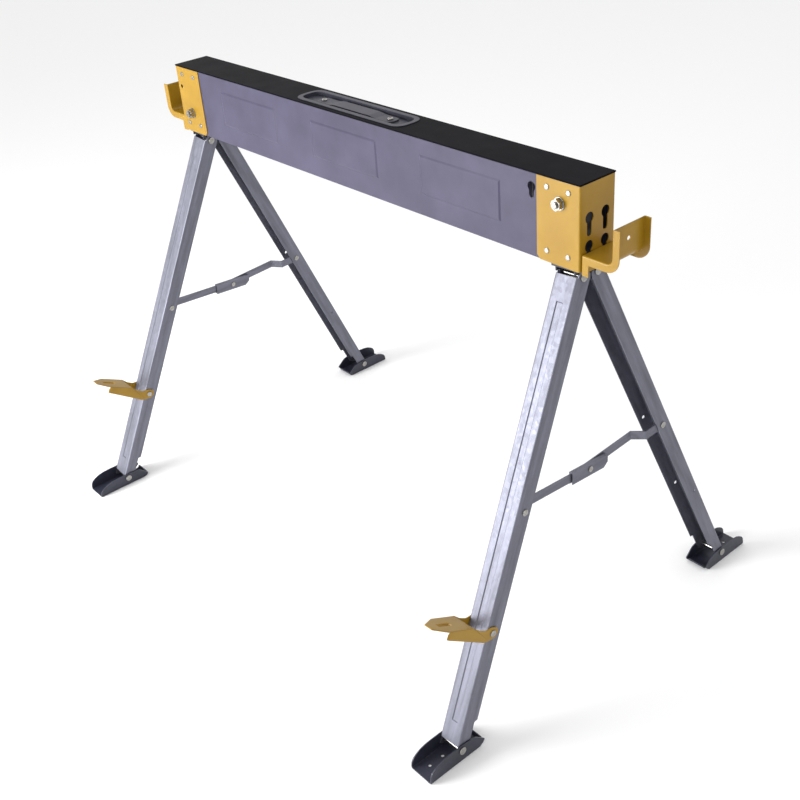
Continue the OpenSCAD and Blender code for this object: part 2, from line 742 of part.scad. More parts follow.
// Ear outline: Y runs out to the nose, the pivot is at the origin
module peg_ear_outline() {
  top = peg_under + peg_sheet;
  polygon([[-8, -7], [4, -12], [14, -14], [45, -9], [71, -5], [peg_taper + 6, -1],
    [peg_taper, top], [peg_plate, top], [30, 6.5], [16, 5], [6, 9.5], [-6, 9]]);
  circle(r = 11);
}

// Top plate seen from above, tapering to the nose
module peg_plan() {
  polygon([[peg_nose_half, peg_reach], [peg_outer, peg_taper], [peg_outer, peg_plate],
    [-peg_outer, peg_plate], [-peg_outer, peg_taper], [-peg_nose_half, peg_reach]]);
}

module panel_peg(end) {
  color(yellow) peg_frame(end) difference() {
    union() {
      for (x = [-peg_outer, peg_inner]) side_plate(x, x + peg_sheet) peg_ear_outline();
      translate([0, 0, peg_under]) linear_extrude(height = peg_sheet) peg_plan();
    }
    translate([-peg_slot_width / 2, peg_slot_end - peg_slot_length, 0])
      cube([peg_slot_width, peg_slot_length, 4 * peg_under]);
    bar_x(peg_rivet_r + running_fit, -leg_width, leg_width);
  }
}

// The timber saddles
module saddle_frame(end) {
  mirror([end == far ? 1 : 0, 0, 0]) translate([end_x, 0, stand_height - saddle_floor_drop])
    children();
}

// Outline over the flanges: X outwards, Y up from the floor
module saddle_outline() {
  r = saddle_bend_r + saddle_flange;
  difference() {
    union() {
      translate([saddle_near, -saddle_tab]) square([saddle_flange, saddle_tab]);
      translate([saddle_near, -saddle_flange])
        square([saddle_clear - saddle_bend_r, saddle_flange]);
      translate([saddle_far - saddle_bend_r, saddle_bend_r]) circle(r = r);
      translate([saddle_far, saddle_bend_r])
        square([saddle_flange, saddle_wall - saddle_bend_r]);
    }
    translate([saddle_near - cut, 0])
      square([saddle_clear + cut - saddle_bend_r, saddle_wall + cut]);
    translate([saddle_near - cut, saddle_bend_r])
      square([saddle_clear + cut, saddle_wall + cut]);
    translate([saddle_far - saddle_bend_r, saddle_bend_r]) circle(r = saddle_bend_r);
  }
}

// The hollow behind the sheet: the flange outline less one sheet on its inner side
module saddle_hollow() {
  r = saddle_bend_r + saddle_sheet;
  difference() {
    translate([saddle_near + saddle_sheet, -saddle_tab - cut])
      square([saddle_clear + 2 * saddle_flange, saddle_tab + saddle_wall + 2 * cut]);
    translate([saddle_near, -saddle_sheet])
      square([saddle_clear - saddle_bend_r, saddle_wall + 2 * cut + saddle_sheet]);
    translate([saddle_near, saddle_bend_r])
      square([saddle_clear + saddle_sheet, saddle_wall + 2 * cut]);
    translate([saddle_far - saddle_bend_r, saddle_bend_r]) circle(r = r);
  }
}

module timber_saddle(end) {
  color(yellow) saddle_frame(end) difference() {
    translate([0, saddle_width / 2, 0]) rotate([90, 0, 0])
      linear_extrude(height = saddle_width) saddle_outline();
    translate([0, saddle_width / 2 - saddle_sheet, 0]) rotate([90, 0, 0])
      linear_extrude(height = saddle_width - 2 * saddle_sheet) saddle_hollow();
    translate([0, 0, saddle_wall - 21])
      bar_x(saddle_hole_r, saddle_far - cut, saddle_far + saddle_flange + cut);
    for (y = [-keyhole_y, keyhole_y]) translate([0, y, saddle_floor_drop - stud_drop])
      bar_x(stud_neck_r, -cut, saddle_sheet + 2 * cut);
  }
}

module saddle_studs(end) {
  inside = -bracket_sheet - side_gap;
  color(zinc) saddle_frame(end) for (y = [-keyhole_y, keyhole_y])
    translate([0, y, saddle_floor_drop - stud_drop]) {
      bar_x(stud_neck_r, inside, saddle_near + saddle_sheet);
      bar_x(stud_head_r, inside - 1.8, inside);
      bar_x(stud_neck_r + 2, saddle_near + saddle_sheet, saddle_near + saddle_sheet + 1.6);
    }
}

// The carry handle
handle_floor = stand_height - handle_sink;
handle_cut_l = handle_length - 2 * handle_rim;
handle_cut_w = handle_width - 2 * handle_rim;

module handle_bezel() {
  color(moulding) difference() {
    union() {
      translate([0, 0, stand_height]) linear_extrude(height = handle_rim_rise)
        handle_outline(handle_length, handle_width);
      translate([0, 0, handle_floor - handle_wall])
        linear_extrude(height = handle_sink + handle_wall + cut / 2)
          handle_outline(handle_cut_l, handle_cut_w);
    }
    translate([0, 0, handle_floor]) linear_extrude(height = handle_sink + 2 * cut)
      handle_outline(handle_cut_l - 2 * handle_wall, handle_cut_w - 2 * handle_wall);
    translate([-finger_half, -handle_cut_w / 2 + handle_wall, handle_floor - handle_wall - cut])
      cube([2 * finger_half, handle_cut_w - 2 * handle_wall, handle_wall + 2 * cut]);
    for (x = [-handle_screw_x, handle_screw_x]) translate([x, 0, handle_floor - handle_wall - cut])
      cylinder(r = 2.5, h = handle_wall + 2 * cut);
  }
}

module strap_outline() {
  rise = stand_height - 0.6 - strap_thick - handle_floor;
  reach = handle_screw_x + 12;
  bend = finger_half - 14;
  polygon([[-reach, 0], [-finger_half - 2, 0], [-bend, rise], [bend, rise], [finger_half + 2, 0],
    [reach, 0], [reach, strap_thick], [finger_half, strap_thick],
    [bend, rise + strap_thick], [-bend, rise + strap_thick], [-finger_half, strap_thick],
    [-reach, strap_thick]]);
}

module handle_strap() {
  color(moulding) difference() {
    translate([0, strap_width / 2, handle_floor]) rotate([90, 0, 0])
      linear_extrude(height = strap_width) strap_outline();
    for (x = [-handle_screw_x, handle_screw_x]) translate([x, 0, handle_floor - cut])
      cylinder(r = 2.5, h = strap_thick + 2 * cut);
  }
}

module handle_screws() {
  color(zinc) for (x = [-handle_screw_x, handle_screw_x])
    translate([x, 0, handle_floor - handle_wall]) {
      cylinder(r = 2.5, h = handle_wall + strap_thick);
      translate([0, 0, handle_wall + strap_thick]) cylinder(r = 5, h = 1.4);
      translate([0, 0, handle_wall + strap_thick]) cylinder(r = 3.6, h = 2.2);
    }
}

beam_shell();
handle_bezel();
handle_strap();
handle_screws();
end_bracket(near);  // near_end_bracket
end_bracket(far);  // far_end_bracket
bracket_rivets(near);  // near_bracket_rivets
bracket_rivets(far);  // far_bracket_rivets
pivot_bolt(near);  // near_pivot_bolt
pivot_bolt(far);  // far_pivot_bolt
pivot_nut(near);  // near_pivot_nut
pivot_nut(far);  // far_pivot_nut
pivot_sleeve(near);  // near_pivot_sleeve
pivot_sleeve(far);  // far_pivot_sleeve
carriage(near);  // near_carriage
carriage(far);  // far_carriage
hinge_pins(near);  // near_hinge_pins
hinge_pins(far);  // far_hinge_pins
leg(near, front);  // near_front_leg
leg(near, back);  // near_back_leg
leg(far, front);  // far_front_leg
leg(far, back);  // far_back_leg
brace_pin(near, front);  // near_front_brace_pin
brace_pin(near, back);  // near_back_brace_pin
brace_pin(far, front);  // far_front_brace_pin
brace_pin(far, back);  // far_back_brace_pin
foot_pin(near, front);  // near_front_foot_pin
foot_pin(near, back);  // near_back_foot_pin
foot_pin(far, front);  // far_front_foot_pin
foot_pin(far, back);  // far_back_foot_pin
peg_rivet(near);  // near_peg_rivet
peg_rivet(far);  // far_peg_rivet
brace_strip(near, front);  // near_front_brace_strip
brace_strip(near, back);  // near_back_brace_strip
brace_strip(far, front);  // far_front_brace_strip
brace_strip(far, back);  // far_back_brace_strip
brace_sleeve(near);  // near_brace_sleeve
brace_sleeve(far);  // far_brace_sleeve
brace_rivet(near);  // near_brace_rivet
brace_rivet(far);  // far_brace_rivet
foot(near, front);  // near_front_foot
foot(near, back);  // near_back_foot
foot(far, front);  // far_front_foot
foot(far, back);  // far_back_foot
panel_peg(near);  // near_panel_peg
panel_peg(far);  // far_panel_peg
timber_saddle(near);  // near_timber_saddle
timber_saddle(far);  // far_timber_saddle
saddle_studs(near);  // near_saddle_studs
saddle_studs(far);  // far_saddle_studs
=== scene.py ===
"""A folding builders' trestle in steel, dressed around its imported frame.

X runs along the beam with the near end at +X, the front is at -Y and Z is up. Lengths
in the functions are millimetres; Blender's own units are metres.
"""

import json
import math

import bmesh
import bpy
from mathutils import Matrix, Vector


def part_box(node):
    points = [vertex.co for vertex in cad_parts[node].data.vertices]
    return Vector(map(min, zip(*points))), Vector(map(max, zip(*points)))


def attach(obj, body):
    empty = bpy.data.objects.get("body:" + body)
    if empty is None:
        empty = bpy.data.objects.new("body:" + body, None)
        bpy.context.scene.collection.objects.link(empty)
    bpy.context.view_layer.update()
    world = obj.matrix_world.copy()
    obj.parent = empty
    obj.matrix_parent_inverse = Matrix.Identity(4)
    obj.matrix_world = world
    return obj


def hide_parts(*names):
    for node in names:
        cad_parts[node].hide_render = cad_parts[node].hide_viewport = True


bl_info = {
    "name": "Builders' Trestle",
    "version": (1, 0, 0),
    "blender": (4, 5, 0),
    "location": "View3D > Sidebar > Trestle",
    "description": "Models a folding steel trestle around its packed frame",
    "category": "Add Mesh",
}

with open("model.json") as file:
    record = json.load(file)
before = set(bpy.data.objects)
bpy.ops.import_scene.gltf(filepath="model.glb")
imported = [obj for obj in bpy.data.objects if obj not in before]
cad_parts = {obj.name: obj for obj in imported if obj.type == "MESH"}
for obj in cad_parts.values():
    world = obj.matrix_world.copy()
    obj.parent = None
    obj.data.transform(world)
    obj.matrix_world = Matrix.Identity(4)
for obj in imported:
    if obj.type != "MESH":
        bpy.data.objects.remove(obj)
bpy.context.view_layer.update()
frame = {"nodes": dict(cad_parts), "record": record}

MM = 0.001
NEAR, FAR = 1, -1
FRONT, BACK = -1, 1
END_NAMES = {NEAR: "near", FAR: "far"}
SIDE_NAMES = {FRONT: "front", BACK: "back"}
ENDS_AND_SIDES = [(end, side) for end in (NEAR, FAR) for side in (FRONT, BACK)]
JOINTS = {joint["name"]: joint for joint in frame["record"]["behaviour"]["joints"]}

# Sizes read from the frame, in millimetres


def node_box(node):
    """The lowest and highest corners of a CAD node, in millimetres."""
    low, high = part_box(node)
    return Vector(low) / MM, Vector(high) / MM


def word_of(end, side):
    """The first words of a name on one leg, such as near_front."""
    return f"{END_NAMES[end]}_{SIDE_NAMES[side]}"


def joint_place(joint):
    """Where a joint's axis passes, in millimetres."""
    return Vector(JOINTS[joint]["pos_m"]) / MM


SHELL_LOW, SHELL_HIGH = node_box("beam_shell")
BRACKET_HIGH = node_box("near_end_bracket")[1]
TRAY_LOW, TRAY_HIGH = node_box("handle_bezel")
STRAP_LOW, STRAP_HIGH = node_box("handle_strap")
BEAM_TOP = SHELL_HIGH.z
BEAM_BOTTOM = SHELL_LOW.z
CAP_WIDTH = SHELL_HIGH.y - SHELL_LOW.y
CAP_LENGTH = SHELL_HIGH.x - SHELL_LOW.x
CAP_UNDER = BRACKET_HIGH.z
PLATE_Y = BRACKET_HIGH.y
END_X = BRACKET_HIGH.x
LEAN = math.radians(JOINTS["near_front_leg_close"]["range_deg"][1])


def up_along_pair(end):
    """The unit vector up a leg pair's plane, which the end's splay tilts."""
    axis = Vector(JOINTS[END_NAMES[end] + "_front_leg_close"]["axis"])
    return axis, axis.cross(Vector((0, 1, 0)))


def leg_matrix(end, side):
    """A leg's own frame: X along its hinge pin, Y into the channel, Z up the leg."""
    along_x, up = up_along_pair(end)
    out = Vector((0, side, 0))
    leg_up = up * math.cos(LEAN) - out * math.sin(LEAN)
    inward = -out * math.cos(LEAN) - up * math.sin(LEAN)
    pin = joint_place(word_of(end, side) + "_leg_close")
    return frame_matrix(along_x, inward, leg_up, pin)


def foot_matrix(end, side):
    """A foot's frame at its pin: X along the pin, Y towards the heel, Z up the pair."""
    along_x, up = up_along_pair(end)
    pin = joint_place(word_of(end, side) + "_foot_turn")
    return frame_matrix(along_x, Vector((0, -side, 0)), up, pin)


def frame_matrix(x, y, z, place):
    """A matrix from three axes and a place."""
    matrix = Matrix((x, y, z)).transposed().to_4x4()
    matrix.translation = place
    return matrix


# Modelling helpers


def clear_selection():
    """Leaves object mode with nothing selected."""
    if bpy.context.object and bpy.context.object.mode != "OBJECT":
        bpy.ops.object.mode_set(mode="OBJECT")
    bpy.ops.object.select_all(action="DESELECT")


def only(obj):
    """Makes one object the selected and active one."""
    clear_selection()
    obj.select_set(True)
    bpy.context.view_layer.objects.active = obj
    return obj


def edit_whole(obj):
    """Enters edit mode with all of a mesh selected."""
    only(obj)
    bpy.ops.object.mode_set(mode="EDIT")
    bpy.ops.mesh.select_all(action="SELECT")


def named(name):
    """Names the object that was just added and its mesh."""
    obj = bpy.context.object
    obj.name = name
    obj.data.name = name
    return obj


def shape_mesh(obj, move):
    """Moves each vertex of a new primitive to where move(index, place) says."""
    for vertex in obj.data.vertices:
        vertex.co = move(vertex.index, vertex.co.copy())


def settle(obj, matrix=None):
    """Puts an object's place into its mesh, in metres, with its faces outwards."""
    only(obj)
    bpy.ops.object.transform_apply(location=True, rotation=True, scale=True)
    if matrix is not None:
        obj.data.transform(matrix)
        if matrix.determinant() < 0:
            face_out(obj)
    return obj


def to_metres(obj):
    """Turns a mesh drawn in millimetres into metres."""
    obj.data.transform(Matrix.Scale(MM, 4))
    return obj


def rounded(points, radii, steps=5):
    """An outline whose corners are turned into arcs; radii may be one number or a list."""
    if not isinstance(radii, (list, tuple)):
        radii = [radii] * len(points)
    out = []
    for i, (point, radius) in enumerate(zip(points, radii)):
        here = Vector(point)
        back, ahead = Vector(points[i - 1]) - here, Vector(points[(i + 1) % len(points)]) - here
        if radius <= 0 or back.length < 1e-6 or ahead.length < 1e-6:
            out.append(tuple(here))
            continue
        half = back.angle(ahead) / 2
        if half > math.radians(88):
            out.append(tuple(here))
            continue
        reach = min(radius / math.tan(half), 0.49 * back.length, 0.49 * ahead.length)
        start, stop = here + back.normalized() * reach, here + ahead.normalized() * reach
        for step in range(steps + 1):
            t = step / steps
            bent = start * (1 - t) ** 2 + here * 2 * t * (1 - t) + stop * t * t
            out.append(tuple(bent))
    return out


def arc(centre, radius, start, stop, steps=10):
    """Points on an arc, angles in degrees."""
    turns = [math.radians(start + (stop - start) * i / steps) for i in range(steps + 1)]
    return [(centre[0] + radius * math.cos(a), centre[1] + radius * math.sin(a)) for a in turns]


AXES = {
    "X": Matrix(((0, 0, 1, 0), (1, 0, 0, 0), (0, 1, 0, 0), (0, 0, 0, 1))),
    "Y": Matrix(((1, 0, 0, 0), (0, 0, 1, 0), (0, 1, 0, 0), (0, 0, 0, 1))),
    "Z": Matrix.Identity(4),
}


def plate(name, outline, low, high, axis="Z"):
    """A flat outline given thickness along an axis, from low to high, in millimetres.

    The outline is in (Y, Z) for X, in (X, Z) for Y and in (X, Y) for Z.
    """
    clear_selection()
    bpy.ops.mesh.primitive_circle_add(vertices=len(outline), fill_type="NGON")
    obj = named(name)
    shape_mesh(obj, lambda i, place: Vector((*outline[i], low)))
    bpy.ops.object.mode_set(mode="EDIT")
    bpy.ops.mesh.select_all(action="SELECT")
    bpy.ops.mesh.extrude_region_move(TRANSFORM_OT_translate={"value": (0, 0, high - low)})
    bpy.ops.object.mode_set(mode="OBJECT")
    obj.data.transform(AXES[axis])
    face_out(obj)
    return obj


def face_out(obj):
    """Turns a closed mesh's faces outwards."""
    edit_whole(obj)
    bpy.ops.mesh.normals_make_consistent(inside=False)
    bpy.ops.object.mode_set(mode="OBJECT")
    return obj


def rod(name, radius, low, high, axis="Z", centre=(0, 0), rim=0.0, sides=32):
    """A round bar along an axis, in millimetres, with its two rims rounded."""
    clear_selection()
    bpy.ops.mesh.primitive_cylinder_add(vertices=sides, radius=radius, depth=high - low)
    obj = named(name)
    place = Matrix.Translation((centre[0], centre[1], (low + high) / 2))
    obj.data.transform(AXES[axis] @ place)
    face_out(obj)
    if rim:
        soften(obj, rim, angle=60, segments=3)
    return obj


def apply_modifier(obj, kind, **settings):
    """Adds a modifier with its settings and applies it."""
    only(obj)
    modifier = obj.modifiers.new(kind.title(), kind)
    for key, value in settings.items():
        setattr(modifier, key, value)
    bpy.ops.object.modifier_apply(modifier=modifier.name)
    return obj


def soften(obj, width, angle=30, segments=2):
    """Rounds every edge sharper than an angle."""
    return apply_modifier(
        obj,
        "BEVEL",
        width=width,
        segments=segments,
        limit_method="ANGLE",
        angle_limit=math.radians(angle),
        harden_normals=False,
    )


def combine(obj, other, operation):
    """Cuts, joins or crosses an object with another solid, and deletes the other."""
    apply_modifier(obj, "BOOLEAN", operation=operation, object=other, solver="EXACT")
    if not obj.data.polygons:
        raise RuntimeError(f"{obj.name} is empty after {operation} with {other.name}")
    bpy.data.objects.remove(other, do_unlink=True)
    return obj


def cut(obj, cutter):
    """Cuts a solid out of an object."""
    return combine(obj, cutter, "DIFFERENCE")


def common(obj, other):
    """Keeps what an object shares with another solid."""
    return combine(obj, other, "INTERSECT")


def joined(name, *parts):
    """Joins objects into one under a name."""
    clear_selection()
    for part in parts:
        part.select_set(True)
    bpy.context.view_layer.objects.active = parts[0]
    if len(parts) > 1:
        bpy.ops.object.join()
    return named(name)


def copied(obj, name):
    """A copy of an object with its own mesh."""
    only(obj)
    bpy.ops.object.duplicate(linked=False)
    return named(name)


def bisect(obj, axis, place):
    """Cuts new edges through a whole mesh in a plane across an axis."""
    edit_whole(obj)
    normal = [1.0 if i == axis else 0.0 for i in range(3)]
    bpy.ops.mesh.bisect(plane_co=[place * n for n in normal], plane_no=normal)
    bpy.ops.object.mode_set(mode="OBJECT")


def select_faces(obj, wanted):
    """Selects the faces whose centre and normal pass a test, in edit mode."""
    only(obj)
    bpy.ops.object.mode_set(mode="EDIT")
    bpy.ops.mesh.select_mode(type="FACE")
    bpy.ops.mesh.select_all(action="DESELECT")
    mesh = bmesh.from_edit_mesh(obj.data)
    mesh.normal_update()
    found = 0
    for face in mesh.faces:
        if wanted(face.calc_center_median(), face.normal):
            face.select_set(True)
            found += 1
    bmesh.update_edit_mesh(obj.data)
    if not found:
        raise RuntimeError(f"{obj.name} has no face at the place asked for")


def round_edges(obj, wanted, width, segments=4):
    """Rounds the edges whose two ends pass a test."""
    only(obj)
    bpy.ops.object.mode_set(mode="EDIT")
    bpy.ops.mesh.select_mode(type="EDGE")
    bpy.ops.mesh.select_all(action="DESELECT")
    mesh = bmesh.from_edit_mesh(obj.data)
    found = [edge for edge in mesh.edges if wanted(edge.verts[0].co, edge.verts[1].co)]
    for edge in found:
        edge.select_set(True)
    bmesh.update_edit_mesh(obj.data)
    if not found:
        raise RuntimeError(f"{obj.name} has no edge at the place asked for")
    bpy.ops.mesh.bevel(offset=width, segments=segments, affect="EDGES")
    bpy.ops.object.mode_set(mode="OBJECT")


def press(obj, wanted, slope, push):
    """Presses a field of a sheet in or out, with sloping sides."""
    select_faces(obj, wanted)
    bpy.ops.mesh.inset(thickness=slope, depth=0, use_even_offset=True)
    bpy.ops.transform.translate(value=push)
    bpy.ops.object.mode_set(mode="OBJECT")


def finished(obj, body, finish, nodes=(), angle=35, metres=True):
    """Gives a piece its finish and its body, and hides the CAD nodes that it stands for."""
    if metres:
        to_metres(obj)
    only(obj)
    bpy.ops.object.shade_smooth_by_angle(angle=math.radians(angle))
    # Keeps wide flat faces flat beside their rounded edges
    apply_modifier(obj, "WEIGHTED_NORMAL", keep_sharp=True, weight=80)
    obj.data.materials.clear()
    obj.data.materials.append(material_named(finish))
    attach(obj, body)
    if nodes:
        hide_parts(*nodes)
    return obj


def dress_node(node, finish):
    """Gives a CAD node that stays its finish."""
    obj = frame["nodes"][node]
    obj.data.materials.clear()
    obj.data.materials.append(material_named(finish))


def softened_copy(node, name, body, finish, width):
    """A merged copy of a CAD node with its edges rounded and its finish on."""
    mesh = frame["nodes"][node].data.copy()
    obj = bpy.data.objects.new(name, mesh)
    bpy.context.collection.objects.link(obj)
    mesh.name = name
    edit_whole(obj)
    bpy.ops.mesh.remove_doubles(threshold=1e-6)
    bpy.ops.mesh.dissolve_limited(angle_limit=math.radians(1.0))
    bpy.ops.object.mode_set(mode="OBJECT")
    soften(obj, width * MM, angle=30, segments=2)
    return finished(obj, body, finish, [node], metres=False)


# Materials


def linear(hex_colour):
    """An sRGB hex colour as a linear RGBA tuple."""
    parts = [int(hex_colour[i : i + 2], 16) / 255 for i in (1, 3, 5)]
    turned = [c / 12.92 if c <= 0.04045 else ((c + 0.055) / 1.055) ** 2.4 for c in parts]
    return (*turned, 1.0)


def add_node(tree, kind, settings=None, inputs=None):
    """Adds a shader node, sets its properties, and sets or links its inputs."""
    node = tree.nodes.new(kind)
    for key, value in (settings or {}).items():
        setattr(node, key, value)
    for key, value in (inputs or {}).items():
        if isinstance(value, bpy.types.NodeSocket):
            tree.links.new(value, node.inputs[key])
        else:
            node.inputs[key].default_value = value
    return node


def new_material(name):
    """An empty material with its shader, and the piece's own coordinates in metres."""
    material = bpy.data.materials.new(name)
    material.use_nodes = True
    tree = material.node_tree
    shader = tree.nodes["Principled BSDF"]
    place = add_node(tree, "ShaderNodeTexCoord").outputs["Object"]
    return material, tree, shader, place


def mottled(tree, place, grain_mm, low, high, dark, light, stretch=(1, 1, 1)):
    """A colour that wanders between two tones over a grain size in millimetres."""
    spread = add_node(tree, "ShaderNodeMapping", inputs={"Vector": place, "Scale": stretch})
    noise = add_node(
        tree,
        "ShaderNodeTexNoise",
        inputs={
            "Vector": spread.outputs["Vector"],
            "Scale": 1 / (grain_mm * MM),
            "Detail": 4.0,
            "Roughness": 0.55,
        },
    )
    ramp = add_node(tree, "ShaderNodeValToRGB", inputs={"Fac": noise.outputs["Fac"]})
    ramp.color_ramp.elements[0].position = low
    ramp.color_ramp.elements[1].position = high
    ramp.color_ramp.elements[0].color = linear(dark)
    ramp.color_ramp.elements[1].color = linear(light)
    return ramp.outputs["Color"]


def ranged(tree, fac, low, high):
    """A value from 0 to 1 spread over a range."""
    return add_node(
        tree, "ShaderNodeMapRange", inputs={"Value": fac, "To Min": low, "To Max": high}
    ).outputs["Result"]


def bumped(tree, place, grain_mm, height_mm, strength, kind="ShaderNodeTexNoise", extra=None):
    """A fine relief of a grain size and height in millimetres."""
    inputs = {"Vector": place, "Scale": 1 / (grain_mm * MM)}
    inputs.update(extra or {})
    pattern = add_node(tree, kind, inputs=inputs)
    height = pattern.outputs["Fac" if kind == "ShaderNodeTexNoise" else "Distance"]
    return add_node(
        tree,
        "ShaderNodeBump",
        inputs={"Height": height, "Distance": height_mm * MM, "Strength": strength},
    ).outputs["Normal"]


def powder_coat(name, dark, light, roughness, coat, specular=0.5):
    """Powder coat baked on sheet steel: an even colour with an orange-peel skin.

    The real peel has waves of about 1.5 mm. It is drawn at 3 mm, so that it shows.
    """
    material, tree, shader, place = new_material(name)
    colour = mottled(tree, place, 60, 0.35, 0.7, dark, light)
    tree.links.new(colour, shader.inputs["Base Color"])
    wander = add_node(
        tree, "ShaderNodeTexNoise", inputs={"Vector": place, "Scale": 1 / (35 * MM), "Detail": 3.0}
    )
    tree.links.new(
        ranged(tree, wander.outputs["Fac"], roughness - 0.05, roughness + 0.06),
        shader.inputs["Roughness"],
    )
    tree.links.new(bumped(tree, place, 3.0, 0.02, 0.35), shader.inputs["Normal"])
    shader.inputs["Metallic"].default_value = 0.0
    shader.inputs["Specular IOR Level"].default_value = specular
    shader.inputs["Coat Weight"].default_value = coat
    shader.inputs["Coat Roughness"].default_value = 0.18
    return material


def galvanised(name, lean, stretch):
    """Hot-dip galvanised sheet: a blue-grey zinc skin with faint spangle and drawing lines.

    Spangle crystals are 5 to 10 mm across. Lines from rolling run along the sheet, so the
    pattern is turned by the leg's lean and stretched along it.
    """
    material, tree, shader, place = new_material(name)
    turned = add_node(
        tree, "ShaderNodeMapping", inputs={"Vector": place, "Rotation": (lean, 0, 0)}
    ).outputs["Vector"]
    crystals = add_node(
        tree,
        "ShaderNodeTexVoronoi",
        {"feature": "F1"},
        {"Vector": turned, "Scale": 1 / (6 * MM), "Randomness": 1.0},
    )
    grey = add_node(tree, "ShaderNodeRGBToBW", inputs={"Color": crystals.outputs["Color"]})
    streaks = mottled(tree, turned, 30, 0.3, 0.75, "#676872", "#80818e", stretch=stretch)
    tint = add_node(
        tree,
        "ShaderNodeMix",
        {"data_type": "RGBA", "blend_type": "MULTIPLY"},
        {"Factor": 1.0, 6: streaks},
    )
    shade = add_node(
        tree,
        "ShaderNodeCombineColor",
        inputs={
            key: ranged(tree, grey.outputs["Val"], 0.86, 1.0) for key in ("Red", "Green", "Blue")
        },
    )
    tree.links.new(shade.outputs["Color"], tint.inputs[7])
    tree.links.new(tint.outputs[2], shader.inputs["Base Color"])
    tree.links.new(ranged(tree, grey.outputs["Val"], 0.44, 0.58), shader.inputs["Roughness"])
    tree.links.new(bumped(tree, turned, 4.0, 0.01, 0.2), shader.inputs["Normal"])
    shader.inputs["Metallic"].default_value = 0.75
    return material


def plated_zinc(name):
    """Bright zinc plating on turned and headed steel: smooth, with fine handling marks."""
    material, tree, shader, place = new_material(name)
    colour = mottled(tree, place, 4, 0.3, 0.7, "#85837f", "#b3b1ac")
    tree.links.new(colour, shader.inputs["Base Color"])
    wander = add_node(
        tree, "ShaderNodeTexNoise", inputs={"Vector": place, "Scale": 1 / (2 * MM), "Detail": 2.0}
    )
    tree.links.new(
        ranged(tree, wander.outputs["Fac"], 0.2, 0.34), shader.inputs["Roughness"]
    )
    shader.inputs["Metallic"].default_value = 1.0
    return material


def moulded_plastic(name):
    """Injection-moulded polypropylene with a spark-eroded grain of about 0.5 mm.

    The grain is drawn at 1.5 mm, so that it shows.
    """
    material, tree, shader, place = new_material(name)
    colour = mottled(tree, place, 40, 0.3, 0.7, "#32323d", "#3d3d49")
    tree.links.new(colour, shader.inputs["Base Color"])
    tree.links.new(bumped(tree, place, 1.5, 0.05, 0.4), shader.inputs["Normal"])
    shader.inputs["Roughness"].default_value = 0.42
    shader.inputs["Specular IOR Level"].default_value = 0.35
    return material


MATERIALS = {}


def material_named(key):
    """One of the finishes, made once."""
    if not MATERIALS:
        colours = bpy.context.scene.trestle_finish
        # The beam's sides are the cap's black coat painted a lighter violet-grey, a painted sheen
        # standing in for reflected light; the cap keeps the coat's own black.
        MATERIALS["side"] = powder_coat(
            "PowderCoat_black_painted_sheen", colours.side_sheen_dark, colours.side_sheen_light, 0.33, 0.0, 0.22
        )
        MATERIALS["cap"] = powder_coat("PowderCoat_black", "#0b0b0f", "#111116", 0.45, 0.0, 0.02)
        MATERIALS["black"] = powder_coat(
            "PowderCoat_black_foot", "#272935", "#333543", 0.36, 0.1, 0.35
        )
        MATERIALS["yellow"] = powder_coat(
            "PowderCoat_yellow", colours.yellow_dark, colours.yellow_light, 0.36, 0.05, 0.35
        )
        MATERIALS["front_leg"] = galvanised("Galvanised_front_leg", LEAN, (3, 3, 0.25))
        MATERIALS["back_leg"] = galvanised("Galvanised_back_leg", -LEAN, (3, 3, 0.25))
        MATERIALS["brace"] = galvanised("Galvanised_brace", 0, (3, 0.25, 3))
        MATERIALS["zinc"] = plated_zinc("Zinc_plated_steel")
        MATERIALS["plastic"] = moulded_plastic("Moulded_polypropylene")
    return MATERIALS[key]


# User settings


class TrestleFinish(bpy.types.PropertyGroup):
    """Colours of the coats, as sRGB hex values; the beam side's two tones are the black coat with a
    painted sheen on it.
    """

    # Both side tones are painted sheen: the beam's black coat drawn lighter violet-grey to stand in
    # for reflected light.
    side_sheen_dark: bpy.props.StringProperty(
        name="Beam side, dark tone",
        description="Darker tone of the beam's sides",
        default="#423f52",
    )
    side_sheen_light: bpy.props.StringProperty(
        name="Beam side, light tone",
        description="Lighter tone of the beam's sides",
        default="#4b485d",
    )
    yellow_dark: bpy.props.StringProperty(
        name="Yellow, dark tone",
        description="Darker tone of the yellow coat",
        default="#937014",
    )
    yellow_light: bpy.props.StringProperty(
        name="Yellow, light tone",
        description="Lighter tone of the yellow coat",
        default="#9f7b1a",
    )


class TrestleSizes(bpy.types.PropertyGroup):
    """Sizes that a user may change without moving anything off the frame."""

    sheet: bpy.props.FloatProperty(
        name="Beam sheet",
        description="Thickness of the beam's sheet, mm",
        default=1.3, min=1.0, max=2.0,
    )
    panel_rise: bpy.props.FloatProperty(
        name="Panel rise",
        description="How far a side panel stands out, mm",
        default=1.5, min=0.5, max=2.0,
    )
    panel_slope: bpy.props.FloatProperty(
        name="Panel slope",
        description="Width of a panel's sloping edge, mm",
        default=3.0, min=1.0, max=5.0,
    )
    groove_depth: bpy.props.FloatProperty(
        name="Leg groove",
        description="Depth of the groove pressed into a leg, mm",
        default=1.4, min=0.3, max=1.5,
    )
    edge: bpy.props.FloatProperty(
        name="Edge rounding",
        description="Rounding of cut sheet edges, mm",
        default=0.3, min=0.1, max=0.5,
    )


# The beam

PANEL_PITCH = 268
PANEL_CENTRES = (-PANEL_PITCH, 0, PANEL_PITCH)
PANEL_LENGTH = 167
PANEL_HEIGHT = 62
PANEL_CENTRE_Z = BEAM_TOP - 58
HANDLE_RIM = 6
SCREWS_X = (-83, 83)
SHEET_BRACKET = 1.6
# Length, width and corner radius of the handle's opening in the beam
HANDLE_OPENING = (254, 42, 17)
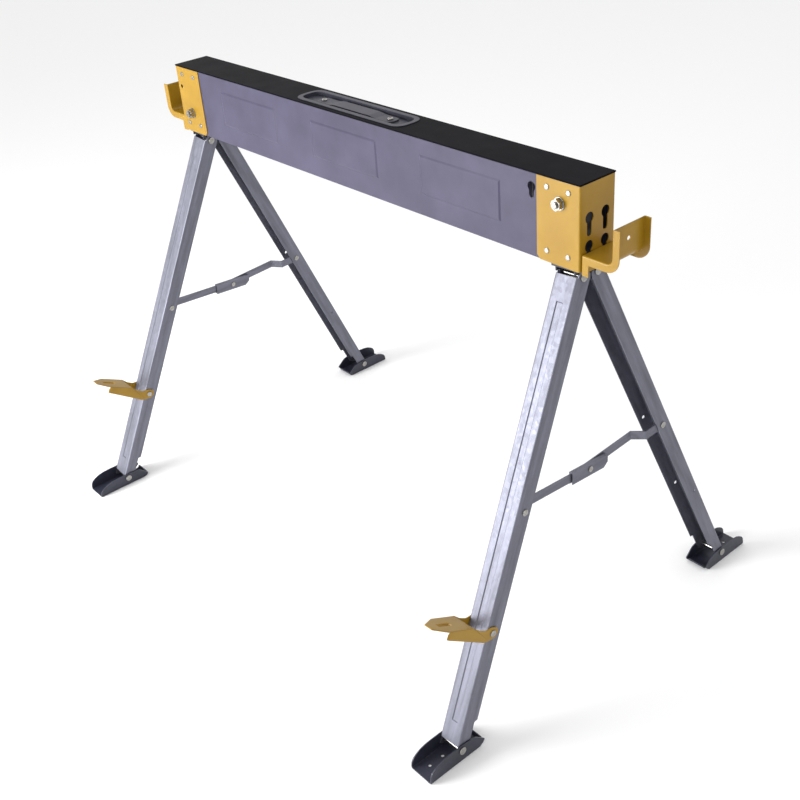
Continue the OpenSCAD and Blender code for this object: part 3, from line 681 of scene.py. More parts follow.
# Radius, slot radius and drop of the slot's end
KEYHOLE = (8, 4.6, 21.5)
SIDE_KEYHOLE = (7, 4.3, 11.5)
KEYHOLE_Y = 15.8
KEYHOLE_DROPS = (50, 90)
SIDE_KEYHOLE_PLACE = (410.5, BEAM_TOP - 22.5)
SPARE_PLACE = (12 - END_X, BEAM_TOP - 39)
SPARE_RADIUS = 3.6


def stadium(length, width, corner):
    """A rounded rectangle centred on the origin."""
    x, y = length / 2, width / 2
    return rounded([(-x, -y), (x, -y), (x, y), (-x, y)], corner, steps=8)


def keyhole(radius, slot_radius, drop):
    """A keyhole outline: a round hole above a slot."""
    meet = math.degrees(math.acos(slot_radius / radius))
    return arc((0, 0), radius, -meet, 180 + meet, 20) + arc((0, -drop), slot_radius, 180, 360, 10)


def shifted(outline, across, up):
    """An outline moved in its plane."""
    return [(a + across, b + up) for a, b in outline]


def spare_hole():
    """The cutter of the open hole through the far front plate and the beam's wall."""
    return rod("spare", SPARE_RADIUS, -60, -20, "Y", SPARE_PLACE)


class TRESTLE_OT_beam(bpy.types.Operator):
    """Model the pressed beam with its panels, cap edge and keyhole"""

    bl_idname = "trestle.beam"
    bl_label = "Beam"

    def execute(self, context):
        sizes = context.scene.trestle_sizes
        wall = PLATE_Y - SHEET_BRACKET
        inner = wall - sizes.sheet
        top = BEAM_TOP - 0.8
        length = END_X - SHEET_BRACKET
        outline = [
            (-wall, BEAM_BOTTOM), (-wall, top), (wall, top), (wall, BEAM_BOTTOM),
            (inner, BEAM_BOTTOM), (inner, top - sizes.sheet), (-inner, top - sizes.sheet),
            (-inner, BEAM_BOTTOM),
        ]
        beam = plate("beam_channel", outline, -length, length, "X")
        for centre in PANEL_CENTRES:
            for side in (-1, 1):
                bisect(beam, 0, centre + side * PANEL_LENGTH / 2)
        for side in (-1, 1):
            bisect(beam, 2, PANEL_CENTRE_Z + side * PANEL_HEIGHT / 2)

        def in_panel(place, normal, side):
            near_panel = any(abs(place.x - x) < PANEL_LENGTH / 2 for x in PANEL_CENTRES)
            upright = abs(normal.y) > 0.9 and place.y * side > inner - 1
            return near_panel and upright and abs(place.z - PANEL_CENTRE_Z) < PANEL_HEIGHT / 2

        for side in (FRONT, BACK):
            press(
                beam,
                lambda place, normal, side=side: in_panel(place, normal, side),
                sizes.panel_slope,
                (0, side * sizes.panel_rise, 0),
            )
        cut(beam, plate("opening", stadium(*HANDLE_OPENING), top - 40, top + 10))
        hole = shifted(keyhole(*SIDE_KEYHOLE), *SIDE_KEYHOLE_PLACE)
        cut(beam, plate("hole", hole, -60, -20, "Y"))
        cut(beam, spare_hole())
        soften(beam, sizes.edge, angle=20, segments=2)
        # The channel's sides take the black coat with its painted sheen.
        finished(beam, "beam", "side", angle=40)

        x, y = CAP_LENGTH / 2, CAP_WIDTH / 2
        cap = plate("beam_cap", [(-x, -y), (x, -y), (x, y), (-x, y)], CAP_UNDER, BEAM_TOP)
        select_faces(cap, lambda place, normal: normal.z < -0.9)
        bpy.ops.mesh.inset(thickness=1.4, depth=0)
        bpy.ops.transform.translate(value=(0, 0, 1.3))
        bpy.ops.object.mode_set(mode="OBJECT")
        cut(cap, plate("opening", stadium(*HANDLE_OPENING), CAP_UNDER - 10, BEAM_TOP + 10))
        soften(cap, 0.8, angle=50, segments=3)
        finished(cap, "beam", "cap", ["beam_shell"])
        return {"FINISHED"}


class TRESTLE_OT_handle(bpy.types.Operator):
    """Model the carry handle: moulded tray, finger strap and two screws"""

    bl_idname = "trestle.handle"
    bl_label = "Carry handle"

    def execute(self, context):
        rim_top = TRAY_HIGH.z
        floor = STRAP_LOW.z
        under = TRAY_LOW.z
        length = TRAY_HIGH.x - TRAY_LOW.x
        width = TRAY_HIGH.y - TRAY_LOW.y
        inside = 2 * HANDLE_RIM
        tray = plate("tray", stadium(length - inside, width - inside, 17), under, rim_top - 0.3)
        flange = plate("flange", stadium(length, width, 22), BEAM_TOP - 0.1, rim_top)
        well = stadium(length - inside - 3, width - inside - 3, 16)
        cut(flange, plate("well", well, under, rim_top + 10))
        well = stadium(length - inside - 4, width - inside - 4, 15.5)
        cut(tray, plate("well", well, floor, rim_top + 10))
        finger = stadium(120, width - inside - 4, 5)
        cut(tray, plate("finger", finger, under - 10, floor + 1))
        for x in SCREWS_X:
            cut(tray, rod("bore", 2.5, under - 5, floor + 5, "Z", (x, 0)))
        soften(tray, 0.4, angle=40)
        soften(flange, 0.5, angle=40, segments=3)
        rims = []
        for x in SCREWS_X:
            outline = shifted(stadium(74, 32, 13), x + math.copysign(12, x), 0)
            pad = plate("pad", outline, floor - 0.4, floor + 0.7)
            soften(pad, 0.5, angle=40)
            rims.append(pad)
        tray = joined("handle_tray", tray, flange, *rims)
        finished(tray, "beam", "plastic", ["handle_bezel"])

        reach, thick = STRAP_HIGH.x, 3.4
        crown = STRAP_HIGH.z - floor
        under = crown - thick
        lower = [(-reach, 0), (-62, 0), (-44, under), (44, under), (62, 0), (reach, 0)]
        upper = [
            (reach, thick), (60, thick), (44, crown), (-44, crown), (-60, thick), (-reach, thick),
        ]
        side_view = rounded(lower + upper, [1, 12, 30, 30, 12, 1, 1, 12, 30, 30, 12, 1], steps=6)
        half = STRAP_HIGH.y
        strap = plate("finger_strap", shifted(side_view, 0, floor), -half, half, "Y")
        waist = plate("waist", stadium(2 * reach, 2 * half, 11), floor - 5, floor + 20)
        common(strap, waist)
        for x in SCREWS_X:
            cut(strap, rod("bore", 2.5, floor - 5, floor + 20, "Z", (x, 0)))
        soften(strap, 0.9, angle=35, segments=3)
        finished(strap, "beam", "plastic", ["handle_strap"])

        seat = floor + thick
        screws = []
        for x in SCREWS_X:
            shank = rod("shank", 2.4, floor - 2, seat + 0.5, "Z", (x, 0))
            head = rod("head", 5, seat, seat + 2.2, "Z", (x, 0))
            soften(head, 1.3, angle=60, segments=4)
            for turn in (0, 1):
                size = (5.2, 1.1) if turn else (1.1, 5.2)
                slot = plate("slot", shifted(stadium(*size, 0.3), x, 0), seat + 1.1, seat + 5)
                cut(head, slot)
            screws += [shank, head]
        screws = joined("handle_screw_pair", *screws)
        finished(screws, "beam", "zinc", ["handle_screws"])
        return {"FINISHED"}


# End brackets and pivots

BRACKET_REACH = 76.5
BRACKET_CHAMFER = 6
RIVET_INSETS = (20, 58)
RIVET_DROPS = (15.5, 106.5)
RIVET_RADIUS = 4.2
RIVET_RISE = 1.4
BOLT_RADIUS = 5
BOLT_HEAD_RADIUS = 9.24
THREAD_PITCH = 1.5
NUT_RADIUS = 8.66
NUT_FLANGE_RADIUS = 9.6


def rivet_spots(end):
    """Where the rivets stand on a bracket's side plates: x, side, z."""
    return [
        (end * (END_X - inward), side, BEAM_TOP - drop)
        for inward in RIVET_INSETS
        for drop in RIVET_DROPS
        for side in (FRONT, BACK)
    ]


def mirrored_x(outline):
    """An outline mirrored left to right, kept in the same winding."""
    return [(-a, b) for a, b in reversed(outline)]


class TRESTLE_OT_end_brackets(bpy.types.Operator):
    """Model the yellow end brackets with their keyholes, rivets, bolts and nuts"""

    bl_idname = "trestle.end_brackets"
    bl_label = "End brackets"

    def execute(self, context):
        edge = context.scene.trestle_sizes.edge
        low, high = BEAM_BOTTOM, CAP_UNDER
        reach = END_X - BRACKET_REACH
        y, t = PLATE_Y, SHEET_BRACKET
        plan = rounded(
            [(reach, -y), (END_X, -y), (END_X, y), (reach, y), (reach, y - t),
             (END_X - t, y - t), (END_X - t, t - y), (reach, t - y)],
            [0, 3, 3, 0, 0, 1.4, 1.4, 0],
        )
        for end in (NEAR, FAR):
            word = END_NAMES[end]
            outline = plan if end == NEAR else mirrored_x(plan)
            bracket = plate(word + "_bracket", outline, low, high)
            corner = end * reach
            c = BRACKET_CHAMFER
            chamfer = [(corner - c, low), (corner, low - c), (corner + c, low), (corner, low + c)]
            cut(bracket, plate("chamfer", chamfer, -60, 60, "Y"))
            face = sorted((end * (END_X - c), end * (END_X + c)))
            for across in (-KEYHOLE_Y, KEYHOLE_Y):
                for drop in KEYHOLE_DROPS:
                    shape = shifted(keyhole(*KEYHOLE), across, BEAM_TOP - drop)
                    cut(bracket, plate("keyhole", shape, *face, "X"))
            if end == FAR:
                cut(bracket, spare_hole())
            soften(bracket, edge, angle=40)
            finished(bracket, "beam", "yellow", [word + "_end_bracket"])
            self.rivets(end)
            self.pivot(end)
        return {"FINISHED"}

    def rivets(self, end):
        """Domed rivets on both side plates."""
        word = END_NAMES[end]
        parts = []
        for x, side, z in rivet_spots(end):
            span = sorted((side * PLATE_Y, side * (PLATE_Y + RIVET_RISE)))
            dome = rod("dome", RIVET_RADIUS, *span, "Y", (x, z), sides=24)
            select_faces(dome, lambda place, normal, s=side: normal.y * s > 0.9)
            bpy.ops.mesh.bevel(offset=1.3, segments=4, profile=0.6)
            bpy.ops.object.mode_set(mode="OBJECT")
            span = sorted((side * PLATE_Y, side * (PLATE_Y + 1.0)))
            parts += [dome, rod("pin", 1.5, *span, "Y", (x, z), sides=12)]
        rivets = joined(word + "_rivets", *parts)
        finished(rivets, "beam", "zinc", [word + "_bracket_rivets"])

    def pivot(self, end):
        """The pivot bolt with its hexagonal head, threaded tip and flanged nut."""
        word = END_NAMES[end]
        place = joint_place(word + "_stow")
        centre = (place.x, place.z)
        bolt_low, bolt_high = node_box(word + "_pivot_bolt")
        nut_low = node_box(word + "_pivot_nut")[0]
        tip_end = bolt_low.y
        shank = rod("shank", BOLT_RADIUS, tip_end + 1, PLATE_Y, "Y", centre)
        tip = rod("tip", 4.7, tip_end, tip_end + 4, "Y", centre, rim=0.8)
        threads = []
        for i in range(2):
            start = tip_end + 0.9 + i * THREAD_PITCH
            threads.append(rod("thread", BOLT_RADIUS, start, start + 1, "Y", centre, rim=0.4))
        head = rod("head", BOLT_HEAD_RADIUS, PLATE_Y, bolt_high.y, "Y", centre, sides=6)
        cone = rod("cone", 9.3, PLATE_Y, bolt_high.y, "Y", centre, sides=48)
        soften(cone, 1.1, angle=60, segments=2)
        common(head, cone)
        bolt = joined(word + "_bolt", shank, tip, *threads, head)
        finished(bolt, "beam", "zinc", [word + "_pivot_bolt"], angle=25)
        flange = rod(
            "flange", NUT_FLANGE_RADIUS, -PLATE_Y - 1.6, -PLATE_Y, "Y", centre, rim=0.6, sides=48
        )
        body = rod("body", NUT_RADIUS, nut_low.y, -PLATE_Y - 0.5, "Y", centre, sides=6)
        round_off = rod("round_off", 8.7, nut_low.y, -PLATE_Y, "Y", centre, sides=48)
        soften(round_off, 1.0, angle=60, segments=2)
        common(body, round_off)
        cut(body, rod("bore", 5.05, nut_low.y - 5, -PLATE_Y + 1, "Y", centre))
        nut = joined(word + "_nut", flange, body)
        finished(nut, "beam", "zinc", [word + "_pivot_nut"], angle=25)


# Legs

LEG_WIDTH = 39.5
LEG_DEPTH = 27
LEG_SHEET = 1.5
HINGE_D = LEG_DEPTH / 2
# How far the groove stops short of the hinge and foot pins, and its half width
GROOVE_TOP = 40
GROOVE_BOTTOM = 38
GROOVE_HALF = 6
BRACE_PIN_S = 342


def foot_distance(end, side):
    """How far the foot pin lies down the leg from the hinge pin."""
    pin = joint_place(word_of(end, side) + "_foot_turn")
    local = leg_matrix(end, side).inverted() @ pin
    return -local.z


class TRESTLE_OT_legs(bpy.types.Operator):
    """Model the galvanised leg channels with their pressed grooves"""

    bl_idname = "trestle.legs"
    bl_label = "Legs"

    def execute(self, context):
        sizes = context.scene.trestle_sizes
        foot_s = foot_distance(NEAR, FRONT)
        x, t, d = LEG_WIDTH / 2, LEG_SHEET, HINGE_D
        outer = [(-x, d), (-x, -d), (x, -d), (x, d)]
        inner = [(x - t, d), (x - t, t - d), (t - x, t - d), (t - x, d)]
        section = rounded(outer + inner, [0, 3, 3, 0, 0, 1.5, 1.5, 0])
        leg = plate("leg", section, -foot_s - 25, 25)
        groove_low = GROOVE_BOTTOM - foot_s
        for place in (-GROOVE_HALF, GROOVE_HALF):
            bisect(leg, 0, place)
        for place in (-GROOVE_TOP, groove_low):
            bisect(leg, 2, place)
        press(
            leg,
            lambda place, normal: abs(place.x) < GROOVE_HALF
            and abs(normal.y) > 0.9
            and place.y < 2 - d
            and groove_low < place.z < -GROOVE_TOP,
            1.4,
            (0, sizes.groove_depth, 0),
        )
        trim_s = foot_s - 47
        side_view = (
            arc((0, 0), d - 0.25, 0, 180, 24)
            + [(-d, 0), (-d, -foot_s - 5)]
            + arc((8 - d, -foot_s), 10.6, 180, 360, 20)
            + [(21.6 - d, -foot_s + 2), (21.6 - d, -trim_s - 3), (d, -trim_s), (d, 0)]
        )
        common(leg, plate("side_view", side_view, -50, 50, "X"))
        for low, high in ((-3, 40), (-foot_s - 40, -foot_s + 4)):
            web = [(-30, -20), (30, -20), (30, 3 - d), (-30, 3 - d)]
            cut(leg, plate("web_end", web, low, high))
        holes = [
            (BRACE_PIN_S, 15.5, 3), (PEG_PIVOT_S, PEG_PIVOT_D, 3), (foot_s, 8, 4), (0, d, 4.06),
        ]
        for s, depth, radius in holes:
            cut(leg, rod("hole", radius, -50, 50, "X", (depth - d, -s), sides=24))
        soften(leg, sizes.edge, angle=40)
        for end, side in ENDS_AND_SIDES:
            word = word_of(end, side)
            piece = copied(leg, word + "_channel")
            settle(piece, leg_matrix(end, side))
            finished(piece, word + "_leg_set", SIDE_NAMES[side] + "_leg", [word + "_leg"])
        bpy.data.objects.remove(leg, do_unlink=True)
        return {"FINISHED"}


class TRESTLE_OT_carriages(bpy.types.Operator):
    """Finish the carriages, sleeves and pins that the legs turn on"""

    bl_idname = "trestle.carriages"
    bl_label = "Carriages and pins"

    def execute(self, context):
        for end in (NEAR, FAR):
            word = END_NAMES[end]
            rows = [
                ("carriage", "leg_carriage", "head", "black", 0.3),
                ("hinge_pins", "leg_hinge_pins", "head", "zinc", 0.7),
                ("peg_rivet", "peg_pivot_rivet", "front_leg_set", "zinc", 0.8),
            ]
            for node, name, body, finish, width in rows:
                softened_copy(
                    f"{word}_{node}", f"{word}_{name}", f"{word}_{body}", finish, width
                )
            dress_node(word + "_pivot_sleeve", "zinc")
        for end, side in ENDS_AND_SIDES:
            word = word_of(end, side)
            for kind in ("brace_pin", "foot_pin"):
                node = f"{word}_{kind}"
                softened_copy(node, node + "_domed", word + "_leg_set", "zinc", 0.8)
        return {"FINISHED"}


class TRESTLE_OT_braces(bpy.types.Operator):
    """Finish the folding braces with their sleeves and rivets"""

    bl_idname = "trestle.braces"
    bl_label = "Braces"

    def execute(self, context):
        for end in (NEAR, FAR):
            word = END_NAMES[end]
            rows = [
                ("front_brace_strip", "front_brace"), ("back_brace_strip", "back_brace"),
                ("brace_sleeve", "front_brace"), ("brace_rivet", "front_brace"),
            ]
            for node, body in rows:
                finish = "zinc" if "rivet" in node else "brace"
                node = f"{word}_{node}"
                softened_copy(node, node + "_rounded", f"{word}_{body}", finish, 0.35)
        return {"FINISHED"}


FOOT_TOE = 66
FOOT_HEEL = 45
FOOT_SHEET = 1.8
FOOT_WALL = 28
FOOT_PIN_HEIGHT = 18
SHOE_INNER = LEG_WIDTH / 2 + 0.4
SHOE_OUTER = SHOE_INNER + FOOT_SHEET
# The curled heel passes between the bends of the leg when the foot turns
LIP_HALF = 16.2


class TRESTLE_OT_feet(bpy.types.Operator):
    """Model the swivel feet, folded from one sheet, with their nail holes"""

    bl_idname = "trestle.feet"
    bl_label = "Feet"

    def execute(self, context):
        edge = context.scene.trestle_sizes.edge
        for end in (NEAR, FAR):
            foot = self.model(end, edge)
            for side in (FRONT, BACK):
                word = word_of(end, side)
                piece = copied(foot, word + "_swivel_foot")
                settle(piece, foot_matrix(end, side))
                finished(piece, word + "_shoe", "black", [word + "_foot"])
            bpy.data.objects.remove(foot, do_unlink=True)
        return {"FINISHED"}

    def model(self, end, edge):
        """One foot in its own frame, its walls splayed with the leg and its sole level."""
        along, up = up_along_pair(end)

        def floor(x):
            return (-FOOT_PIN_HEIGHT - along.z * x) / up.z

        w, wi, t = SHOE_OUTER, SHOE_INNER, FOOT_SHEET
        section = [
            (-w, 14), (-w, floor(-w)), (w, floor(w)), (w, 14),
            (wi, 14), (wi, floor(wi) + t), (-wi, floor(-wi) + t), (-wi, 14),
        ]
        section = rounded(section, [0, 2.6, 2.6, 0, 0, 0.9, 0.9, 0])
        foot = plate("foot", section, -FOOT_TOE, FOOT_HEEL, "Y")
        drop = -FOOT_PIN_HEIGHT
        wall = [
            (-FOOT_TOE + 0.6, -5), (-FOOT_TOE + 0.6, 5), (-FOOT_TOE + 2, 12), (-FOOT_TOE + 5, 17),
            (-54, 21.5), (-46, 25), (-34, 27.4), (-24, FOOT_WALL), (6, FOOT_WALL), (18, 26.8),
            (FOOT_HEEL - 18, 24.8), (FOOT_HEEL - 13, 21), (FOOT_HEEL, 9.5),
            (FOOT_HEEL - 1, 6.4), (FOOT_HEEL - 4, 3.4), (FOOT_HEEL - 9, 1.6), (FOOT_HEEL - 9.6, -5),
        ]
        radii = [0, 6, 4, 6, 10, 12, 12, 12, 12, 12, 6, 6, 0, 0, 0, 0, 0]
        common(foot, plate("wall", shifted(rounded(wall, radii), 0, drop), -40, 40, "X"))
        lip = [
            (FOOT_HEEL - 12, 0.2), (FOOT_HEEL - 4, 2.2), (FOOT_HEEL - 0.8, 5.4), (FOOT_HEEL, 9),
            (FOOT_HEEL - 1.8, 9), (FOOT_HEEL - 2.5, 6.1), (FOOT_HEEL - 5.2, 3.6),
            (FOOT_HEEL - 12, t),
        ]
        lip = shifted(rounded(lip, [0, 6, 4, 0, 0, 4, 5, 0]), 0, drop)
        lip = plate("lip", lip, -LIP_HALF, LIP_HALF, "X")
        tilt = Matrix.Rotation(math.atan2(along.z, along.x), 4, "Y")
        lip.data.transform(tilt)
        for across in (-17.7, -43.7):
            nail = rod("nail", 2.6, drop - 10, drop + 10, "Z", (-4, across))
            nail.data.transform(tilt)
            cut(foot, nail)
        cut(foot, rod("bore", 4.06, -40, 40, "X", sides=32))
        foot = joined("foot", foot, lip)
        soften(foot, edge, angle=40)
        return foot


PEG_REACH = 117
# Where the top plate starts, clear of the leg
PEG_PLATE = 44
PEG_SHEET = 1.5
PEG_INNER = LEG_WIDTH / 2 + 0.4
PEG_OUTER = PEG_INNER + PEG_SHEET
PEG_PIVOT_S = 529
PEG_PIVOT_D = 9.5
PEG_UNDER = PEG_PIVOT_D + 0.5
PEG_SLOT = (8, 26)
PEG_TILT = math.radians(2.5)
PEG_TAPER = 92


class TRESTLE_OT_pegs(bpy.types.Operator):
    """Model the folding panel pegs, folded from one sheet"""

    bl_idname = "trestle.pegs"
    bl_label = "Panel pegs"

    def execute(self, context):
        peg = self.model(context.scene.trestle_sizes.edge)
        at_pivot = Matrix.Translation((0, PEG_PIVOT_D - HINGE_D, -PEG_PIVOT_S))
        outwards = Matrix.Scale(-1, 4, (0, 1, 0))
        tilted = Matrix.Rotation(PEG_TILT, 4, "X")
        for end in (NEAR, FAR):
            word = END_NAMES[end]
            piece = copied(peg, word + "_folding_peg")
            settle(piece, leg_matrix(end, FRONT) @ at_pivot @ outwards @ tilted)
            finished(piece, word + "_peg", "yellow", [word + "_panel_peg"])
        bpy.data.objects.remove(peg, do_unlink=True)
        return {"FINISHED"}

    def model(self, edge):
        """One peg in its own frame: the pivot at the origin and Y out to the nose."""
        top = PEG_UNDER + PEG_SHEET
        side = [
            (-8, -7), (4, -12), (14, -14), (45, -9), (71, -5), (PEG_TAPER + 6, -1),
            (PEG_TAPER + 0.8, PEG_UNDER), (PEG_REACH, PEG_UNDER), (PEG_REACH, top),
            (PEG_PLATE, top), (30, 6.5), (16, 5), (6, 9.5), (-6, 9.5), (-11, 3),
        ]
        side = rounded(side, [6, 4, 6, 10, 10, 4, 0.6, 0, 0, 6, 10, 10, 6, 5, 6])
        plan = [
            (-PEG_OUTER, -20), (PEG_OUTER, -20), (PEG_OUTER, PEG_TAPER), (8, PEG_REACH),
            (-8, PEG_REACH), (-PEG_OUTER, PEG_TAPER),
        ]
        plan = rounded(plan, [0, 0, 4, 3, 3, 4])
        peg = plate("peg", side, -40, 40, "X")
        common(peg, plate("plan", plan, -41, 41))
        wide = PEG_INNER
        leg_space = [(-wide, -30), (wide, -30), (wide, PEG_PLATE), (-wide, PEG_PLATE)]
        cut(peg, plate("leg_space", leg_space, -42, 42))
        hollow = [(-wide, 40), (wide, 40), (wide, 140), (-wide, 140)]
        cut(peg, plate("hollow", hollow, -43, PEG_UNDER))
        width, length = PEG_SLOT
        cut(peg, plate("slot", shifted(stadium(width, length, 0.8), 0, 99 - length / 2), 0, 41))
        cut(peg, rod("bore", 3.06, -40, 40, "X"))

        def on_rim(a, b):
            return all(
                p.z > top - 0.01
                and (abs(p.x) > PEG_OUTER - 0.1 or p.y > PEG_TAPER)
                and (abs(p.x) > PEG_SLOT[0] / 2 + 1 or p.y > 110)
                for p in (a, b)
            )

        round_edges(peg, on_rim, 1.3)
        soften(peg, edge, angle=50)
        return peg


SADDLE_NEAR = 0.3
SADDLE_FAR = SADDLE_NEAR + 51
SADDLE_BEND = 9
SADDLE_HALF = 31.5
SADDLE_FLANGE = 12
SADDLE_WALL = 50
SADDLE_TAB = 29
SADDLE_SHEET = 1.6
SADDLE_DROP = 98
STUD_DROP = 111.5


class TRESTLE_OT_saddles(bpy.types.Operator):
    """Model the timber saddles, folded from one sheet, and their studs"""

    bl_idname = "trestle.saddles"
    bl_label = "Timber saddles"

    def execute(self, context):
        saddle = self.saddle(context.scene.trestle_sizes.edge)
        studs = self.studs()
        for end in (NEAR, FAR):
            word = END_NAMES[end]
            at_floor = Matrix.Translation((END_X, 0, BEAM_TOP - SADDLE_DROP))
            place = Matrix.Scale(end, 4, (1, 0, 0)) @ at_floor
            piece = copied(saddle, word + "_saddle_hanger")
            settle(piece, place)
            finished(piece, word + "_saddle", "yellow", [word + "_timber_saddle"])
            piece = copied(studs, word + "_headed_studs")
            settle(piece, place)
            finished(piece, word + "_saddle", "zinc", [word + "_saddle_studs"])
        for obj in (saddle, studs):
            bpy.data.objects.remove(obj, do_unlink=True)
        return {"FINISHED"}

    def saddle(self, edge):
        """One saddle: X outwards from the end face, Z up from its floor."""
        turn = (SADDLE_FAR - SADDLE_BEND, SADDLE_BEND)
        flange = SADDLE_FLANGE
        outer = [
            (SADDLE_NEAR, -SADDLE_TAB), (SADDLE_NEAR + flange, -SADDLE_TAB),
            (SADDLE_NEAR + flange, -flange),
        ]
        outer += arc(turn, SADDLE_BEND + flange, -90, 0, 16)
        outer += [(SADDLE_FAR + flange, SADDLE_WALL), (SADDLE_FAR, SADDLE_WALL)]
        outer += arc(turn, SADDLE_BEND, 0, -90, 12) + [(SADDLE_NEAR, 0)]
        saddle = plate("saddle", outer, -SADDLE_HALF, SADDLE_HALF, "Y")

        def on_sheet(p):
            in_bend = p.z < SADDLE_BEND and p.x > turn[0]
            bend = abs(math.hypot(p.x - turn[0], p.z - turn[1]) - SADDLE_BEND) < 0.05
            flat = abs(p.x - SADDLE_NEAR) < 0.01 or abs(p.z) < 0.01 or abs(p.x - SADDLE_FAR) < 0.01
            return abs(p.y) > SADDLE_HALF - 0.01 and (flat or (in_bend and bend))

        def folded(a, b):
            return on_sheet(a) and on_sheet(b)

        round_edges(saddle, folded, 2.2)
        t = SADDLE_SHEET
        hollow = [(SADDLE_NEAR + t, -50), (90, -50), (90, 70), (SADDLE_FAR + t, 70)]
        hollow += arc(turn, SADDLE_BEND + t, 0, -90, 12) + [(SADDLE_NEAR + t, -t)]
        cut(saddle, plate("hollow", hollow, t - SADDLE_HALF, SADDLE_HALF - t, "Y"))
        cut(saddle, rod("bore", 3.2, SADDLE_FAR - 5, SADDLE_FAR + 5, "X", (0, SADDLE_WALL - 21)))
        soften(saddle, edge, angle=50)
        return saddle

    def studs(self):
        """The two headed studs that hang a saddle in the keyholes."""
        inside = -SHEET_BRACKET - 0.3
        back = SADDLE_NEAR + SADDLE_SHEET
        parts = []
        for across in (-KEYHOLE_Y, KEYHOLE_Y):
            centre = (across, SADDLE_DROP - STUD_DROP)
            parts += [
                rod("neck", 4, inside - 0.5, back + 0.5, "X", centre),
                rod("head", 7.2, inside - 1.8, inside, "X", centre, rim=0.5),
                rod("tail", 6, back, back + 1.6, "X", centre, rim=0.7),
            ]
        return joined("studs", *parts)


# Stage

# The photograph's viewpoint, fitted to the beam, the feet and the leg edges
CAMERA_PLACE = (1.3938, -1.0637, 1.3379)
CAMERA_YAW = math.radians(51.69)
CAMERA_PITCH = math.radians(31.56)
CAMERA_ROLL = math.radians(-4.91)
CAMERA_LENS = 50.23
SENSOR = 36.0
FLOOR_RADIUS = 9


def aimed(obj, place, target):
    """Puts a lamp at a place, pointing at a target."""
    obj.location = place
    obj.rotation_euler = (Vector(target) - Vector(place)).to_track_quat("-Z", "Y").to_euler()


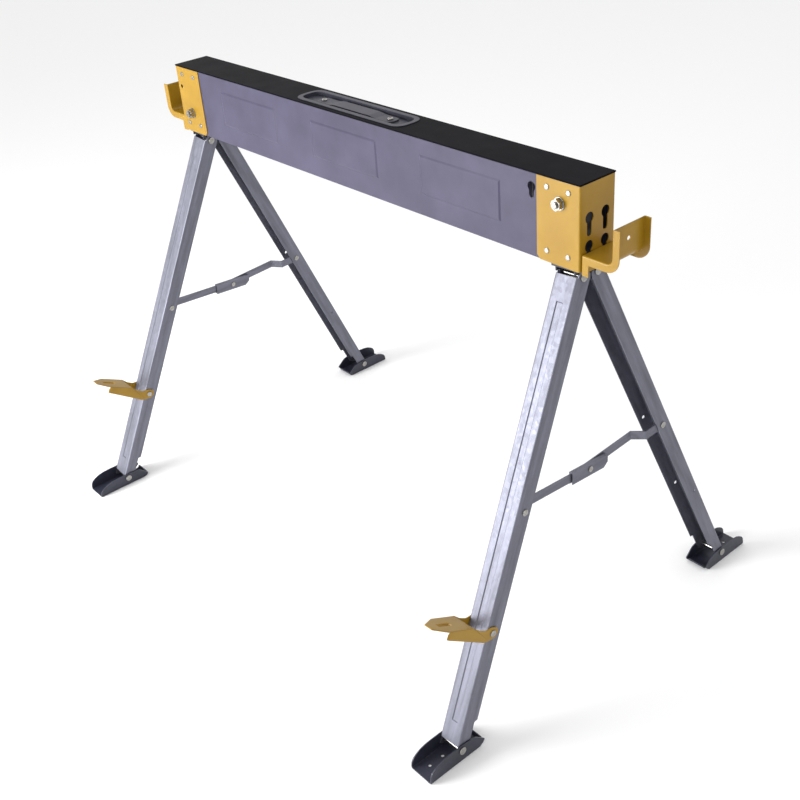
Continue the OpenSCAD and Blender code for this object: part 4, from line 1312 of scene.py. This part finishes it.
class TRESTLE_OT_stage(bpy.types.Operator):
    """Set the floor, the soft studio light and the camera"""

    bl_idname = "trestle.stage"
    bl_label = "Stage"

    def execute(self, context):
        scene = context.scene
        scene.view_settings.view_transform = "Standard"
        self.floor()
        self.background(scene)
        self.lamps()
        self.camera(scene)
        return {"FINISHED"}

    def floor(self):
        """A pale matt floor that keeps the object's shadow."""
        clear_selection()
        bpy.ops.mesh.primitive_circle_add(vertices=96, radius=FLOOR_RADIUS, fill_type="NGON")
        floor = named("studio_floor")
        material = bpy.data.materials.new("Studio_paper")
        material.use_nodes = True
        tree = material.node_tree
        shader = tree.nodes["Principled BSDF"]
        shader.inputs["Base Color"].default_value = linear("#fbfbfb")
        shader.inputs["Roughness"].default_value = 0.9
        shader.inputs["Specular IOR Level"].default_value = 0.1
        floor.data.materials.append(material)

    def background(self, scene):
        """A world that is white to the camera and in reflections, and soft as a light."""
        world = bpy.data.worlds.new("Studio")
        scene.world = world
        world.use_nodes = True
        tree = world.node_tree
        rays = add_node(tree, "ShaderNodeLightPath")
        seen = add_node(
            tree, "ShaderNodeMath", {"operation": "MAXIMUM"},
            {0: rays.outputs["Is Camera Ray"], 1: rays.outputs["Is Glossy Ray"]},
        )
        seen = add_node(
            tree, "ShaderNodeMath", {"operation": "MAXIMUM"},
            {0: seen.outputs[0], 1: rays.outputs["Is Transmission Ray"]},
        )
        light = add_node(
            tree, "ShaderNodeBackground", inputs={"Color": linear("#ffffff"), "Strength": 0.9}
        )
        white = add_node(
            tree, "ShaderNodeBackground", inputs={"Color": linear("#ffffff"), "Strength": 1.0}
        )
        mix = add_node(
            tree, "ShaderNodeMixShader",
            inputs={0: seen.outputs[0], 1: light.outputs[0], 2: white.outputs[0]},
        )
        tree.links.new(mix.outputs[0], tree.nodes["World Output"].inputs["Surface"])

    def lamps(self):
        """A large key light low at the front left, and a weak one above."""
        for name, place, size, power in (
            ("key_light", (-0.85, -2.1, 0.85), 1.3, 74),
            ("top_light", (-0.4, 0.6, 3.2), 2.4, 5),
        ):
            clear_selection()
            bpy.ops.object.light_add(type="AREA")
            lamp = bpy.context.object
            lamp.name = name
            lamp.data.shape = "DISK"
            lamp.data.size = size
            lamp.data.energy = power
            aimed(lamp, place, (0, 0, 0.5))

    def camera(self, scene):
        """The camera at the photograph's viewpoint."""
        clear_selection()
        bpy.ops.object.camera_add()
        camera = bpy.context.object
        camera.name = "photo_camera"
        camera.data.sensor_width = SENSOR
        camera.data.lens = CAMERA_LENS
        ahead = Vector(
            (-math.sin(CAMERA_YAW) * math.cos(CAMERA_PITCH),
             math.cos(CAMERA_YAW) * math.cos(CAMERA_PITCH), -math.sin(CAMERA_PITCH))
        )
        right = Vector((math.cos(CAMERA_YAW), math.sin(CAMERA_YAW), 0))
        up = right.cross(ahead)
        turned_right = right * math.cos(CAMERA_ROLL) + up * math.sin(CAMERA_ROLL)
        turned_up = up * math.cos(CAMERA_ROLL) - right * math.sin(CAMERA_ROLL)
        camera.matrix_world = frame_matrix(turned_right, turned_up, -ahead, Vector(CAMERA_PLACE))
        scene.camera = camera


class TRESTLE_PT_panel(bpy.types.Panel):
    """The trestle's tools in the sidebar."""

    bl_label = "Trestle"
    bl_idname = "TRESTLE_PT_panel"
    bl_space_type = "VIEW_3D"
    bl_region_type = "UI"
    bl_category = "Trestle"

    def draw(self, context):
        for group in (context.scene.trestle_sizes, context.scene.trestle_finish):
            for key in group.__annotations__:
                self.layout.prop(group, key)
        for operator in OPERATORS:
            self.layout.operator(operator.bl_idname)


OPERATORS = (
    TRESTLE_OT_beam,
    TRESTLE_OT_handle,
    TRESTLE_OT_end_brackets,
    TRESTLE_OT_legs,
    TRESTLE_OT_carriages,
    TRESTLE_OT_braces,
    TRESTLE_OT_feet,
    TRESTLE_OT_pegs,
    TRESTLE_OT_saddles,
    TRESTLE_OT_stage,
)
CLASSES = (TrestleFinish, TrestleSizes, *OPERATORS, TRESTLE_PT_panel)


def register():
    """Registers the classes and their settings."""
    for cls in CLASSES:
        bpy.utils.register_class(cls)
    bpy.types.Scene.trestle_sizes = bpy.props.PointerProperty(type=TrestleSizes)
    bpy.types.Scene.trestle_finish = bpy.props.PointerProperty(type=TrestleFinish)


def unregister():
    """Removes the classes and their settings."""
    del bpy.types.Scene.trestle_finish
    del bpy.types.Scene.trestle_sizes
    for cls in reversed(CLASSES):
        bpy.utils.unregister_class(cls)


def main():
    register()
    for operator in OPERATORS:
        group, name = operator.bl_idname.split(".")
        getattr(getattr(bpy.ops, group), name)()


if __name__ == "__main__":
    main()
